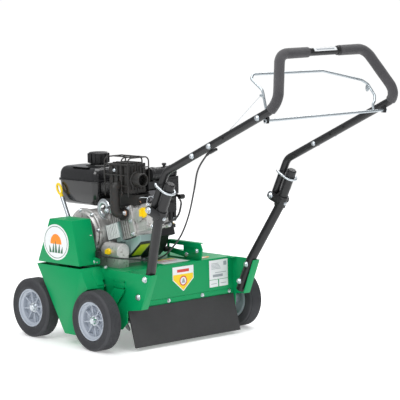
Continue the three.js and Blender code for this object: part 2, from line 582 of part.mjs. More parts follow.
function buildFuelTank() {
  const [x0, x1, y0, y1] = [46, 178, -370, -160];
  const bevel = 12;
  const corner = (inset, r) => {
    const s = new THREE.Shape();
    const [a, b, c, d] = [x0 + inset, x1 - inset, y0 + inset, y1 - inset];
    s.moveTo(a + r, c);
    s.lineTo(b - r, c);
    s.quadraticCurveTo(b, c, b, c + r);
    s.lineTo(b, d - r);
    s.quadraticCurveTo(b, d, b - r, d);
    s.lineTo(a + r, d);
    s.quadraticCurveTo(a, d, a, d - r);
    s.lineTo(a, c + r);
    s.quadraticCurveTo(a, c, a + r, c);
    return s;
  };
  const body = new THREE.ExtrudeGeometry(corner(bevel, 10), {
    depth: 132 - 2 * bevel, bevelEnabled: true, bevelThickness: bevel, bevelSize: bevel, bevelSegments: 2, curveSegments: 3,
  }).translate(0, 0, 456 + bevel);
  const seam = new THREE.ExtrudeGeometry(corner(-4, 22), { depth: 5, bevelEnabled: false, curveSegments: 3 }).translate(0, 0, 540);
  const neck = rod('z', 26, 585, 596, 84, -256, 20);
  add('fuel_tank', union(body, seam, neck), BLACK_PLASTIC, deckFrame);

  const lobes = 14;
  const rim = Array.from({ length: lobes * 4 }, (_, i) => {
    const r = i % 4 < 2 ? 38.5 : 35.5;
    const a = (2 * Math.PI * (i + (i % 2 ? -0.15 : 0.15))) / (lobes * 4);
    return [r * Math.cos(a), r * Math.sin(a)];
  });
  const cap = new THREE.ExtrudeGeometry(shapeOf(rim), { depth: 34, bevelEnabled: false }).translate(84, -256, 596 + GAP);
  add('fuel_cap', union(cap, rod('z', 33, 629, 634, 84, -256, 20)), BLACK_PLASTIC, deckFrame);
}

function buildExhaust() {
  const can = new THREE.ExtrudeGeometry(shapeOf([[-52, -50], [52, -50], [52, 50], [-52, 50]]), {
    depth: 66, bevelEnabled: true, bevelThickness: 4, bevelSize: 3, bevelSegments: 1,
  });
  const yzx = new THREE.Matrix4().makeBasis(
    new THREE.Vector3(0, 1, 0), new THREE.Vector3(0, 0, 1), new THREE.Vector3(1, 0, 0));
  can.applyMatrix4(yzx).translate(112, -30, 564);
  const outlet = rod('y', 23, 20, 60, 152, 560, 20);
  add('muffler', cut(union(can, outlet), rod('y', 18, 30, 70, 152, 560, 20)), BLACK_STEEL, deckFrame);

  const path = new RoundedPath([[186, -28, 538], [204, -28, 538], [204, -28, 446], [168, -28, 446]], 18, 22.5);
  const flange = box(166 + GAP, 172.5, -82, -6, 427, 465);
  add('exhaust_elbow', union(tube(path, 16, 12), flange), BLACK_STEEL, deckFrame);

  // Welded wire cage around the muffler.
  const wires = [];
  const [x0, x1, z0, z1] = [98, 190, 504, 634];
  for (const y of [-94, -8, 26]) {
    const hoop = [[x0, y, z0], [x0, y, z1], [x1, y, z1], [x1, y, z0]];
    wires.push(tube(new RoundedPath(hoop, 16, 45), 2.4, 4));
  }
  for (const [x, z] of [[x1, 612], [x1, 576], [152, z1], [116, z1]]) {
    wires.push(rod('y', 2.4, -96, 28, x, z, 4));
  }
  add('muffler_guard', union(...wires), BLACK_STEEL, deckFrame);
}

function buildIntake() {
  const canister = rod('x', 21, -6, 92, 20, 573, 20);
  const cap = rod('x', 23, -14, -4, 20, 573, 20);
  add('air_cleaner', union(canister, cap, rod('z', 5, 590, 606, 24, 20, 8), box(-18, 40, -16, 44, 500, 560)),
    BLACK_PLASTIC, deckFrame);
}

function buildServiceCaps() {
  const knurled = (r, x0, x1, y, z) => rod('x', r, x0, x1, y, z, 12);
  add('oil_filler_cap', union(knurled(17, 152 + GAP, 160, 60, 452), box(159, 172, 57, 63, 440, 464)), YELLOW, deckFrame);
  add('oil_drain_plug', union(rod('x', 11, 217 + GAP, 223, -50, 318, 12), box(222, 230, -57, -43, 311, 325)), YELLOW, deckFrame);
  const loop = new THREE.TorusGeometry(11, 4, 6, 16).rotateY(Math.PI / 2);
  const position = loop.attributes.position;
  for (let i = 0; i < position.count; i++) position.setZ(i, position.getZ(i) * 1.7);
  const stick = union(geometryOf(solid(loop)), rod('z', 6.5, -30, -14, 0, 0, 10), rod('z', 2, -88, -20, 0, 0, 8));
  const mesh = add('dipstick', stick, YELLOW, deckFrame);
  mesh.rotation.x = Math.atan2(67, 135);
  mesh.position.set(186, -337 - 0.4446 * 30.5, 480 + 0.8957 * 30.5);
}

buildDeck();
buildFlap();
buildGuards();
buildReel();
buildDrive();
buildWheels();
buildAxles();
buildDepthControl();
buildHandle();
buildBail();
buildClutchCable();
buildEngineBlock();
buildBlower();
buildFuelTank();
buildExhaust();
buildIntake();
buildServiceCaps();

// The origin is on the ground, at the middle of the machine's plan.
const extent = new THREE.Box3().setFromObject(machine);
machine.position.y = -(extent.min.y + extent.max.y) / 2;

export default machine;
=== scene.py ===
"""Looks of a walk-behind lawn dethatcher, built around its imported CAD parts."""
import json
import math

import bmesh
import bpy
from mathutils import Matrix, Vector

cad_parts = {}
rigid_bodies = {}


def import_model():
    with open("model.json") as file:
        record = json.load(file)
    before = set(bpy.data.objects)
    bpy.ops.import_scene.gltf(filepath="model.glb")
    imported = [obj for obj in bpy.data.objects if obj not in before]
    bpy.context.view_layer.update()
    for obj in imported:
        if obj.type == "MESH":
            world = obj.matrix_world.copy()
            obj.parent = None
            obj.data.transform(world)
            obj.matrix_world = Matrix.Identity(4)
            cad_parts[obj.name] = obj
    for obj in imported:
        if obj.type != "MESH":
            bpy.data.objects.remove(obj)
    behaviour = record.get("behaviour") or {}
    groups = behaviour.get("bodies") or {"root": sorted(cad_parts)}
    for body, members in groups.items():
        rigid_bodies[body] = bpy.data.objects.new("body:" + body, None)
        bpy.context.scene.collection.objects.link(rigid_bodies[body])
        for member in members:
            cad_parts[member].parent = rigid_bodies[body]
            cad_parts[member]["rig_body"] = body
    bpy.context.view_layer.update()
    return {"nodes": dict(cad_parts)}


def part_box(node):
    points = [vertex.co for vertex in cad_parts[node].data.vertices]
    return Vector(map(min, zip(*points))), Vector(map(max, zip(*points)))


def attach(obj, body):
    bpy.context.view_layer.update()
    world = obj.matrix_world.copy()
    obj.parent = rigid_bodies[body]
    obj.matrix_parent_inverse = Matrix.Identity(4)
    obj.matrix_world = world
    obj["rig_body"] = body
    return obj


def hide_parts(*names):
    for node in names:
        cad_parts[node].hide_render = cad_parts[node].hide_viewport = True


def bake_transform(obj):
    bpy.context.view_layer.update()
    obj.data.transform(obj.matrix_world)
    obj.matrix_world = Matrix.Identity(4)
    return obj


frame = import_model()

# ---- Camera ---------------------------------------------------------------------------------
CAMERA_PLACE = Vector((4.6548, 5.1285, 1.4510))
CAMERA_AIM = Vector((0.0005, -0.0286, 0.4932))
camera_data = bpy.data.cameras.new("camera")
camera_data.lens = 188.6
camera_data.sensor_width = 36.0
camera_data.clip_end = 60.0
camera = bpy.data.objects.new("camera", camera_data)
camera.location = CAMERA_PLACE
camera.rotation_euler = (CAMERA_AIM - CAMERA_PLACE).to_track_quat("-Z", "Y").to_euler()
bpy.context.scene.collection.objects.link(camera)
bpy.context.scene.camera = camera

# ---- Frames ---------------------------------------------------------------------------------
# Pieces are written in millimetres, either level with the ground or in the tilted deck frame.
axle_low, axle_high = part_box("front_axle")
FRONT_AXLE_Y = -332.0
SHIFT_Y = (axle_low.y + axle_high.y) / 2 - FRONT_AXLE_Y / 1000
DECK_TILT = math.radians(1.9)
GROUND = Matrix.Translation((0, SHIFT_Y, 0)) @ Matrix.Scale(0.001, 4)
DECK = GROUND @ Matrix.Rotation(DECK_TILT, 4, "X")


def row(x, y, z, base=GROUND):
    """A point in millimetres of a frame, given in metres of the scene."""
    return base @ Vector((x, y, z))


# ---- Materials ------------------------------------------------------------------------------
ROUGH_SPREAD = 0.08
BUMP_HEIGHT = 0.0006


def material(name, color, rough, metal=0.0, bump=0.0, scale=200.0, tint=0.12, coat=0.0,
             voronoi=False, sheen=0.0, spots=None, specular=0.5):
    """Principled material whose colour and roughness vary with noise, with a fine bump."""
    m = bpy.data.materials.new(name)
    m.use_nodes = True
    nodes, links = m.node_tree.nodes, m.node_tree.links
    shader = nodes["Principled BSDF"]
    for socket, value in (("Metallic", metal), ("Coat Weight", coat), ("Coat Roughness", 0.12),
                          ("Specular IOR Level", specular), ("Sheen Weight", sheen)):
        shader.inputs[socket].default_value = value
    place = nodes.new("ShaderNodeTexCoord")

    def texture(kind, size, detail=None):
        node = nodes.new(kind)
        node.inputs["Scale"].default_value = size
        if detail is not None:
            node.inputs["Detail"].default_value = detail
        links.new(place.outputs["Object"], node.inputs["Vector"])
        return node

    def ramp(source, low, high):
        node = nodes.new("ShaderNodeValToRGB")
        node.color_ramp.elements[0].position = low
        node.color_ramp.elements[1].position = high
        links.new(source.outputs["Fac"], node.inputs["Fac"])
        return node

    shade = ramp(texture("ShaderNodeTexNoise", 14.0, 6.0), 0.3, 0.7)
    shade.color_ramp.elements[0].color = [c * (1 - tint) for c in color] + [1]
    shade.color_ramp.elements[1].color = [min(c * (1 + tint), 1) for c in color] + [1]
    if spots:
        mask = ramp(texture("ShaderNodeTexNoise", 90.0, 8.0), 0.56, 0.72)
        mix = nodes.new("ShaderNodeMix")
        mix.data_type = "RGBA"
        links.new(mask.outputs["Color"], mix.inputs["Factor"])
        links.new(shade.outputs["Color"], mix.inputs["A"])
        mix.inputs["B"].default_value = list(spots) + [1]
        links.new(mix.outputs["Result"], shader.inputs["Base Color"])
    else:
        links.new(shade.outputs["Color"], shader.inputs["Base Color"])
    span = nodes.new("ShaderNodeMapRange")
    span.inputs["To Min"].default_value = max(rough - ROUGH_SPREAD, 0.02)
    span.inputs["To Max"].default_value = min(rough + ROUGH_SPREAD, 1.0)
    smear = texture("ShaderNodeTexNoise", 45.0, 5.0)
    links.new(smear.outputs["Fac"], span.inputs["Value"])
    links.new(span.outputs["Result"], shader.inputs["Roughness"])
    if bump:
        if voronoi:
            grain = texture("ShaderNodeTexVoronoi", scale)
        else:
            grain = texture("ShaderNodeTexNoise", scale, 3.0)
        lift = nodes.new("ShaderNodeBump")
        lift.inputs["Strength"].default_value = bump
        lift.inputs["Distance"].default_value = BUMP_HEIGHT
        links.new(grain.outputs["Distance" if voronoi else "Fac"], lift.inputs["Height"])
        links.new(lift.outputs["Normal"], shader.inputs["Normal"])
    return m


GREEN = material("green_paint", (0.0, 0.305, 0.100), 0.34, bump=0.03, scale=900, tint=0.02, specular=0.22)
BLACK_STEEL = material("black_steel", (0.016, 0.016, 0.017), 0.33, bump=0.06, scale=700, specular=0.4)
GLOSS_BLACK = material("gloss_black", (0.012, 0.012, 0.013), 0.20, bump=0.08, scale=500, coat=0.3)
BLACK_PLASTIC = material("black_plastic", (0.012, 0.012, 0.013), 0.42, bump=0.3, scale=1500)
# Heat-blackened steel of the muffler and exhaust, also used as painted shade in the fin gaps and behind
# the shroud slots.
HEAT_BLACK_AND_SHADE = material("heat_black_and_painted_shade", (0.018, 0.017, 0.016), 0.52, bump=0.35, scale=900,
                         spots=(0.035, 0.022, 0.016))
TYRE = material("tyre_rubber", (0.040, 0.041, 0.046), 0.66, bump=0.3, scale=900, tint=0.1)
FLAP = material("flap_rubber", (0.036, 0.036, 0.037), 0.62, bump=0.25, scale=650, tint=0.08)
FOAM = material("foam", (0.056, 0.054, 0.058), 0.95, bump=0.8, scale=700, voronoi=True, sheen=0.3)
RIM = material("rim_plastic", (0.42, 0.46, 0.52), 0.42, bump=0.1, scale=600, tint=0.05)
ZINC = material("zinc", (0.60, 0.64, 0.67), 0.28, metal=0.9, bump=0.04, scale=500, tint=0.06)
ALUMINIUM = material("cast_aluminium", (0.60, 0.59, 0.575), 0.42, metal=0.6, bump=0.55, scale=650,
                     tint=0.16, spots=(0.30, 0.28, 0.26))
TEAL = material("tinted_sheet", (0.34, 0.47, 0.45), 0.34, metal=0.55, bump=0.03, scale=300, tint=0.05)
PALE_SHEET = material("pale_sheet", (0.86, 0.91, 0.89), 0.4, metal=0.15, bump=0.03, scale=300, tint=0.04)
WIRE = material("zinc_wire", (0.50, 0.55, 0.58), 0.36, metal=0.85, bump=0.03, scale=500, tint=0.06)
DARK_STEEL = material("dark_steel", (0.20, 0.20, 0.21), 0.42, metal=0.85, bump=0.3, scale=400,
                      spots=(0.13, 0.10, 0.08))
FLAIL_STEEL = material("flail_steel", (0.30, 0.30, 0.31), 0.38, metal=0.9, bump=0.3, scale=350,
                       spots=(0.17, 0.13, 0.10))
YELLOW = material("yellow_plastic", (0.95, 0.66, 0.010), 0.33, bump=0.1, scale=500, tint=0.05)
WHITE = material("label_white", (0.82, 0.84, 0.85), 0.35, tint=0.02)
LABEL_GREY = material("label_grey", (0.35, 0.38, 0.41), 0.4, tint=0.05)
LABEL_RED = material("label_red", (0.65, 0.06, 0.04), 0.4, tint=0.05)
LABEL_ORANGE = material("label_orange", (0.95, 0.27, 0.01), 0.4, tint=0.04)
LABEL_GREEN = material("label_green", (0.02, 0.14, 0.06), 0.4, tint=0.05)
LABEL_LIME = material("label_lime", (0.36, 0.44, 0.01), 0.35, tint=0.08)
COPPER = material("heat_copper", (0.62, 0.34, 0.22), 0.4, metal=0.7, tint=0.2)
# Near-black used as painted shade inside holes and the outlet pipe, where no light reaches.
PAINTED_HOLE_SHADE = material("painted_hole_shade", (0.004, 0.004, 0.004), 0.9, tint=0.1)


# ---- Mesh building --------------------------------------------------------------------------
SMOOTH_ANGLE = math.radians(33)
CAD_EDGE_DEGREES = 32


def oval(cy, cz, ry, rz, count=56):
    """Points evenly spaced round an ellipse."""
    return [(cy + ry * math.cos(2 * math.pi * k / count), cz + rz * math.sin(2 * math.pi * k / count))
            for k in range(count)]


def hexagon(turn=0):
    """Unit hexagon section, turned by some degrees."""
    angles = [math.radians(60 * k + turn) for k in range(6)]
    return [(math.cos(a), math.sin(a)) for a in angles]


def rounded(corners, radius, step=6.0):
    """Polyline through corners whose bends are arcs, cut every step degrees."""
    points = [Vector(c) for c in corners]
    out = [points[0]]
    for before, here, after in zip(points, points[1:], points[2:]):
        a, b = before - here, after - here
        turn = math.pi - a.angle(b)
        if turn < 1e-4:
            out.append(here)
            continue
        trim = min(radius * math.tan(turn / 2), min(a.length, b.length) / 2.05)
        r = trim / math.tan(turn / 2)
        u, v = a.normalized(), b.normalized()
        centre = here + (u + v).normalized() * math.hypot(r, trim)
        start, end = here + u * trim - centre, here + v * trim - centre
        axis = start.cross(end).normalized()
        count = max(2, math.ceil(math.degrees(turn) / step))
        for k in range(count + 1):
            out.append(centre + Matrix.Rotation(turn * k / count, 3, axis) @ start)
    out.append(points[-1])
    return out


class Shape:
    """A mesh under construction, in millimetres of the ground or deck frame."""

    def __init__(self, base=GROUND):
        self.bm = bmesh.new()
        self.base = base
        self.materials = []

    def slot(self, m):
        if m not in self.materials:
            self.materials.append(m)
        return self.materials.index(m)

    def faces(self, verts, faces, m):
        made = [self.bm.verts.new(v) for v in verts]
        index = self.slot(m)
        for f in faces:
            face = self.bm.faces.new([made[i] for i in f])
            face.material_index = index
        return made

    def outward(self, made):
        """Turns the faces round these vertices to face outwards."""
        around = dict.fromkeys(f for v in made for f in v.link_faces)
        bmesh.ops.recalc_face_normals(self.bm, faces=list(around))

    def bevel(self, made, width, segments=2, angle=30):
        edges = dict.fromkeys(e for v in made for e in v.link_edges)
        sharp = [e for e in edges
                 if len(e.link_faces) == 2 and e.calc_face_angle(0) > math.radians(angle)]
        if sharp and width > 0:
            bmesh.ops.bevel(self.bm, geom=sharp, offset=width, segments=segments, affect="EDGES",
                            profile=0.6, clamp_overlap=True)

    def box(self, x, y, z, m, bevel=0.8, turn=None):
        verts = [Vector((x[i], y[j], z[k])) for i in (0, 1) for j in (0, 1) for k in (0, 1)]
        if turn:
            centre, axis, degrees = Vector(turn[0]), turn[1], turn[2]
            spin = Matrix.Rotation(math.radians(degrees), 3, axis)
            verts = [spin @ (v - centre) + centre for v in verts]
        faces = [(0, 1, 3, 2), (4, 6, 7, 5), (0, 4, 5, 1), (2, 3, 7, 6), (0, 2, 6, 4), (1, 5, 7, 3)]
        self.bevel(self.faces(verts, faces, m), bevel)

    def prism(self, outline, x, m, bevel=0.0, axis="x"):
        """Outline in the two coordinates across axis, from x[0] to x[1] along it."""
        def place(p, t):
            a, b = p
            return {"x": (t, a, b), "y": (a, t, b), "z": (a, b, t)}[axis]
        n = len(outline)
        verts = [place(p, x[0]) for p in outline] + [place(p, x[1]) for p in outline]
        faces = [list(range(n))[::-1], list(range(n, 2 * n))]
        faces += [(i, (i + 1) % n, n + (i + 1) % n, n + i) for i in range(n)]
        made = self.faces(verts, faces, m)
        self.outward(made)
        self.bevel(made, bevel)

    def lathe(self, profile, centre, m, axis="x", sides=48):
        """Closed (radius, along) profile turned about an axis through centre."""
        n = len(profile)
        c = Vector(centre)
        verts, faces, ring_of = [], [], []
        for r, t in profile:
            ring = []
            count = 1 if r < 1e-6 else sides
            for i in range(count):
                a = 2 * math.pi * i / sides
                p, q = r * math.cos(a), r * math.sin(a)
                ring.append(len(verts))
                verts.append(c + Vector({"x": (t, p, q), "y": (q, t, p), "z": (p, q, t)}[axis]))
            ring_of.append(ring)
        closed = profile[0][0] > 1e-6 or profile[-1][0] > 1e-6
        pairs = list(zip(range(n), range(1, n))) + ([(n - 1, 0)] if closed else [])
        for a, b in pairs:
            ra, rb = ring_of[a], ring_of[b]
            if len(ra) == 1 and len(rb) == 1:
                continue
            for i in range(sides):
                j = (i + 1) % sides
                if len(ra) == 1:
                    faces.append((ra[0], rb[j], rb[i]))
                elif len(rb) == 1:
                    faces.append((ra[i], ra[j], rb[0]))
                else:
                    faces.append((ra[i], ra[j], rb[j], rb[i]))
        self.outward(self.faces(verts, faces, m))

    def rod(self, a, b, r, m, sides=24, edge=0.6):
        """Round bar between two points, with slightly rounded ends."""
        a, b = Vector(a), Vector(b)
        length = (b - a).length
        edge = min(edge, length * 0.4, r * 0.4)
        points = [a, a.lerp(b, edge / length), b.lerp(a, edge / length), b]
        self.sweep(points, [r - edge, r, r, r - edge], m, sides)

    def sweep(self, points, radius, m, sides=14, closed=False, section=None):
        """Round (or given) section carried along points."""
        pts = [Vector(p) for p in points]
        n = len(pts)
        radii = radius if isinstance(radius, (list, tuple)) else [radius] * n
        tangents = []
        for i in range(n):
            near = pts[(i - 1) % n] if closed or i else pts[0]
            far = pts[(i + 1) % n] if closed or i < n - 1 else pts[-1]
            tangents.append((far - near).normalized())
        up = Vector((0, 0, 1)) if abs(tangents[0].z) < 0.9 else Vector((1, 0, 0))
        side = tangents[0].cross(up).normalized()
        verts, faces = [], []
        for i in range(n):
            if i:
                side = (side - tangents[i] * side.dot(tangents[i])).normalized()
            other = tangents[i].cross(side).normalized()
            for k in range(sides):
                a = 2 * math.pi * k / sides
                p, q = (math.cos(a), math.sin(a)) if section is None else section[k]
                verts.append(pts[i] + side * (p * radii[i]) + other * (q * radii[i]))
        for i in range(n if closed else n - 1):
            j = (i + 1) % n
            for k in range(sides):
                l = (k + 1) % sides
                faces.append((i * sides + k, i * sides + l, j * sides + l, j * sides + k))
        if not closed:
            faces += [tuple(range(sides))[::-1], tuple(range((n - 1) * sides, n * sides))]
        self.outward(self.faces(verts, faces, m))

    def bolt(self, at, normal, r=8.0, flange=9.5, height=5.0):
        """Zinc hexagon flange bolt head standing on a surface."""
        n = Vector(normal).normalized()
        p = Vector(at)
        self.rod(p - n * 0.5, p + n * 1.6, flange, ZINC, 24, 0.5)
        head = [p + n * 1.2, p + n * (height + 0.6), p + n * (height + 1.4)]
        self.sweep(head, [r, r, r * 0.86], ZINC, 6, section=hexagon(12))
        self.rod(p + n * height, p + n * (height + 2.0), r * 0.5, ZINC, 16, 0.4)

    def flipped(self):
        """Turns the whole shape into its mirror image in the centre plane."""
        for v in self.bm.verts:
            v.co.x = -v.co.x
        bmesh.ops.reverse_faces(self.bm, faces=self.bm.faces[:])

    def build(self, name, body, slot, nodes=(), smooth=SMOOTH_ANGLE, blended=None):
        mesh = bpy.data.meshes.new(name)
        self.bm.transform(self.base)
        self.bm.to_mesh(mesh)
        self.bm.free()
        for m in self.materials:
            mesh.materials.append(m)
        for p in mesh.polygons:
            p.use_smooth = True
        mesh.set_sharp_from_angle(angle=smooth)
        obj = bpy.data.objects.new(name, mesh)
        bpy.context.scene.collection.objects.link(obj)
        if blended:
            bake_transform(obj)
        else:
            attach(obj, body)
        if nodes:
            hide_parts(*nodes)
        return obj


def refine(node, m, slot, bevel, segments=2, extra=None, base=DECK):
    """Replaces a CAD node by its own shape with softened edges. extra adds trim to it."""
    source = frame["nodes"][node]
    shape = Shape(base)
    shape.bm.from_mesh(source.data)
    shape.bm.transform(base.inverted())
    for f in shape.bm.faces:
        f.material_index = 0
    shape.slot(m)
    bmesh.ops.remove_doubles(shape.bm, verts=shape.bm.verts[:], dist=0.01)
    bmesh.ops.dissolve_limit(shape.bm, angle_limit=math.radians(2), verts=shape.bm.verts[:],
                             edges=shape.bm.edges[:])
    shape.bevel(shape.bm.verts[:], bevel, segments, CAD_EDGE_DEGREES)
    if extra:
        extra(shape)
    shape.build(node + "_looks", source["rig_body"], slot, (node,))


# ---- Wheels ---------------------------------------------------------------------------------
WHEEL_R = 101.6
RIM_R = 66.0
REAR_AXLE_Y = -4.0
WHEEL_X = 320.0
WALL_MARK_R = 92.6
HUB_FACE = 330.3


def tyre_profile():
    """(radius, along) of a tyre with ringed side walls and a grooved tread."""
    wall = [(RIM_R, 21.0), (67.0, 25.0), (69.0, 26.6)]
    for k in range(6):
        r = 72.0 + k * 3.6
        wall += [(r, 27.3), (r + 0.6, 26.4), (r + 1.6, 26.4), (r + 2.2, 27.5)]
    wall += [(95.0, 26.6), (98.0, 24.8), (100.2, 21.5)]
    tread = []
    for x in (19.0, 13.5, 8.0, 2.5, -3.0, -8.5, -14.0, -19.5):
        tread += [(101.2, x + 1.7), (101.4, x + 0.4), (99.9, x - 0.2), (99.9, x - 1.6),
                  (101.4, x - 2.2)]
    return wall + tread + [(r, -x) for r, x in reversed(wall)]


def build_wheel(end, side, y, body):
    tyre = Shape()
    tyre.lathe(tyre_profile(), (WHEEL_X, y, WHEEL_R), TYRE, sides=96)
    for k in range(3):
        a = 2 * math.pi * k / 3 + 0.5
        py, pz = y + WALL_MARK_R * math.cos(a), WHEEL_R + WALL_MARK_R * math.sin(a)
        tyre.box((WHEEL_X + 26.6, WHEEL_X + 27.6), (py - 3, py + 3), (pz - 1, pz + 1), TYRE, 0.3)
    rim = Shape()
    c = (WHEEL_X, y, WHEEL_R)
    rim.lathe([(65.6, -24), (65.6, 24), (64.4, 25.4), (62.4, 25.4), (61.0, 24), (60.0, 19), (55.0, 16.5),
               (53.0, 14.5), (51.5, -2), (57, -4), (57.0, -24)], c, RIM, sides=80)
    rim.lathe([(52.5, -3.5), (52.5, -0.5), (16, -0.5), (16, -3.5)], c, RIM, sides=64)
    rim.lathe([(8.6, -25.6), (19.0, -25.6), (21.0, 0), (20.0, 8.0), (17.5, 9.8), (8.6, 9.8)], c, RIM,
              sides=40)
    rim.lathe([(32.0, -1), (32.0, 4.0), (30.5, 4.6), (29.0, 4.0), (29.0, -1)], c, RIM, sides=56)
    for k in range(8):
        turn = (c, "X", 45 * k + 11)
        rim.box((WHEEL_X - 2, WHEEL_X + 11.5), (y - 1.9, y + 1.9), (WHEEL_R + 18, WHEEL_R + 53.5),
                RIM, 0.7, turn)
        rim.box((WHEEL_X - 2, WHEEL_X + 3), (y - 5.0, y + 5.0), (WHEEL_R + 19, WHEEL_R + 53),
                RIM, 0.6, turn)
    for s, name, slot in ((tyre, "tyre", "tyre_rubber"), (rim, "rim", "rim_plastic")):
        if side == "right":
            s.flipped()
        s.build(f"{end}_{side}_{name}_looks", body, slot, (f"{end}_{side}_{name}",), math.radians(28))


def hub_nut(side, y, body, name):
    """Zinc washer, hexagon nut and threaded axle end outside a hub."""
    s = Shape()

    def out(distance):
        return HUB_FACE + distance, y, WHEEL_R
    s.rod(out(0), out(1.5), 16, ZINC, 32)
    s.sweep([out(1.4), out(8.2), out(9.6)], [12.7, 12.7, 11.2], ZINC, 6, section=hexagon())
    s.rod(out(9), out(11.4), 8.3, ZINC, 20)
    if side == "right":
        s.flipped()
    s.build(name, body, "zinc")


for end, y in (("front", FRONT_AXLE_Y), ("rear", REAR_AXLE_Y)):
    for side in ("left", "right"):
        build_wheel(end, side, y, f"{end}_{side}_wheel")
        hub_nut(side, y, "chassis" if end == "front" else "rear_axle_carrier", f"{end}_{side}_hub_nut")

# ---- Deck -----------------------------------------------------------------------------------
PLATE_X = 246.6
PANEL_Y = 64.0


def deck_trim(s):
    """Frames of the height plates on both sides, and the lip along the rear panel."""
    for sign in (1, -1):
        x = sorted((sign * (PLATE_X + 2.6), sign * (PLATE_X + 4.4)))
        for y, z in (((11, 67), (227, 231)), ((11, 67), (207, 211)), ((11, 15), (207, 231)),
                     ((63, 67), (207, 231))):
            s.box(x, y, z, GREEN, 0.8)
    s.rod((-243, PANEL_Y - 1.2, 262.0), (243, PANEL_Y - 1.2, 262.0), 1.6, GREEN, 10)


refine("deck_housing", GREEN, "green_paint", 1.1, extra=deck_trim)

flap_clamp = Shape(DECK)
flap_clamp.box((-238, 238), (PANEL_Y, PANEL_Y + 1.6), (135.5, 151), GREEN, 0.6)
flap_clamp.build("flap_clamp", "chassis", "green_paint")

hardware = Shape(DECK)
for x in (57.6, -95.2, -222.0, 210.0):
    hardware.bolt((x, PANEL_Y + 1.6, 143), (0, 1, 0), r=5.6, flange=7.2, height=4.0)
for sign in (1, -1):
    for y, z in ((167.0, 246.0), (131.0, 184.0)):
        hardware.bolt((sign * PLATE_X, y, z), (sign, 0, 0), r=8.4, flange=10.5, height=5.5)
        hardware.bolt((sign * 210.5, y - 1, z), (-sign, 0, 0), r=8.0, flange=10.0, height=5.0)
        hardware.rod((sign * 211, y, z), (sign * PLATE_X, y, z), 4.5, ZINC, 12)
hardware.bolt((262, -69, 286), (0.15, 0.98, 0.2), r=6.5, flange=8)
hardware.bolt((250.5, -30, 268), (0, 0, 1), r=5.5, flange=7)
# Spring pin and its clip on the side plate, beside the belt guard.
hardware.rod((PLATE_X, -42, 206), (PLATE_X + 20, -42, 206), 5.0, ZINC, 16)
hardware.rod((PLATE_X + 9, -42, 206), (PLATE_X + 12, -42, 206), 9.0, ZINC, 20)
clip = [(PLATE_X + 17, y, z) for y, z in ((-50, 216), (-44, 226), (-34, 216), (-46, 190), (-38, 180))]
hardware.sweep(rounded(clip, 6, 15), 1.3, ZINC, 8)
for y, z in ((-10, 278), (43.7, 293.9)):
    hardware.bolt((-95.0, y, z), (1, 0, 0), r=6.8, flange=8.4)
for x, y in ((30, -286), (170, -286), (30, -92), (170, -92)):
    hardware.bolt((x, y, 262.3), (0, 0, 1), r=6.4, flange=8.5, height=6)
hardware.build("deck_bolts", "chassis", "zinc")


def guard_trim(s):
    """Fixing tab of the upper belt guard, and the small white mark on it."""
    s.box((247.5, 268), (-75, -62), (278, 300), GREEN, 1.0)
    s.box((255, 262), (-95.2, -93.2), (372, 374.5), WHITE, 0.2)


refine("upper_belt_guard", GREEN, "green_paint", 1.6, extra=guard_trim)
refine("lower_belt_guard", GREEN, "green_paint", 1.4)
refine("rear_axle", GREEN, "green_paint", 0.8)
refine("front_axle", ZINC, "zinc", 0.3)
refine("depth_bracket", GREEN, "green_paint", 0.9)
refine("depth_lever", GREEN, "green_paint", 0.9)
refine("rear_flap", FLAP, "flap_rubber", 0.8)
refine("cable_anchor", BLACK_STEEL, "black_steel", 0.6)

lever_knob = Shape(DECK)
lever_knob.rod((-89.5, -98, 290), (-70, -98, 290), 9, BLACK_PLASTIC, 28, 2)
lever_knob.build("depth_lever_knob", "depth_control", "black_plastic")

# ---- Decals ---------------------------------------------------------------------------------
badge = Shape(DECK)
BADGE = (-193.5, 349.5)
badge.prism(oval(*BADGE, 68, 61), (330.05, 330.5), WHITE)
ring_out, ring_in = oval(*BADGE, 62, 55), oval(*BADGE, 60, 53)
for k in range(56):
    n = (k + 1) % 56
    badge.prism([ring_out[k], ring_out[n], ring_in[n], ring_in[k]], (330.4, 330.7), LABEL_GREEN)
# A plain rising sun over grass blades.
angles = [math.pi * k / 24 for k in range(25)]
sun = [(BADGE[0] + 30 * math.cos(a), BADGE[1] - 6 + 34 * math.sin(a)) for a in angles]
badge.prism(sun, (330.4, 330.75), LABEL_ORANGE)
for dy, lean, tall in ((-30, -6, 24), (-16, 3, 34), (0, -3, 42), (15, 4, 34), (29, 6, 24)):
    foot, low = BADGE[0] + dy, BADGE[1] - 36
    badge.prism([(foot - 6, low), (foot + 6, low), (foot + 3 + lean / 2, low + tall * 0.6),
                 (foot + lean, low + tall)], (330.7, 330.95), LABEL_GREEN)
badge.build("guard_badge", "chassis", "green_paint")

labels = Shape(DECK)


def on_panel(outline, lift, m):
    labels.prism(outline, (PANEL_Y + lift, PANEL_Y + lift + 0.25), m, axis="y")


def card(x0, x1, z0, z1, lift, m):
    on_panel([(x0, z0), (x1, z0), (x1, z1), (x0, z1)], lift, m)


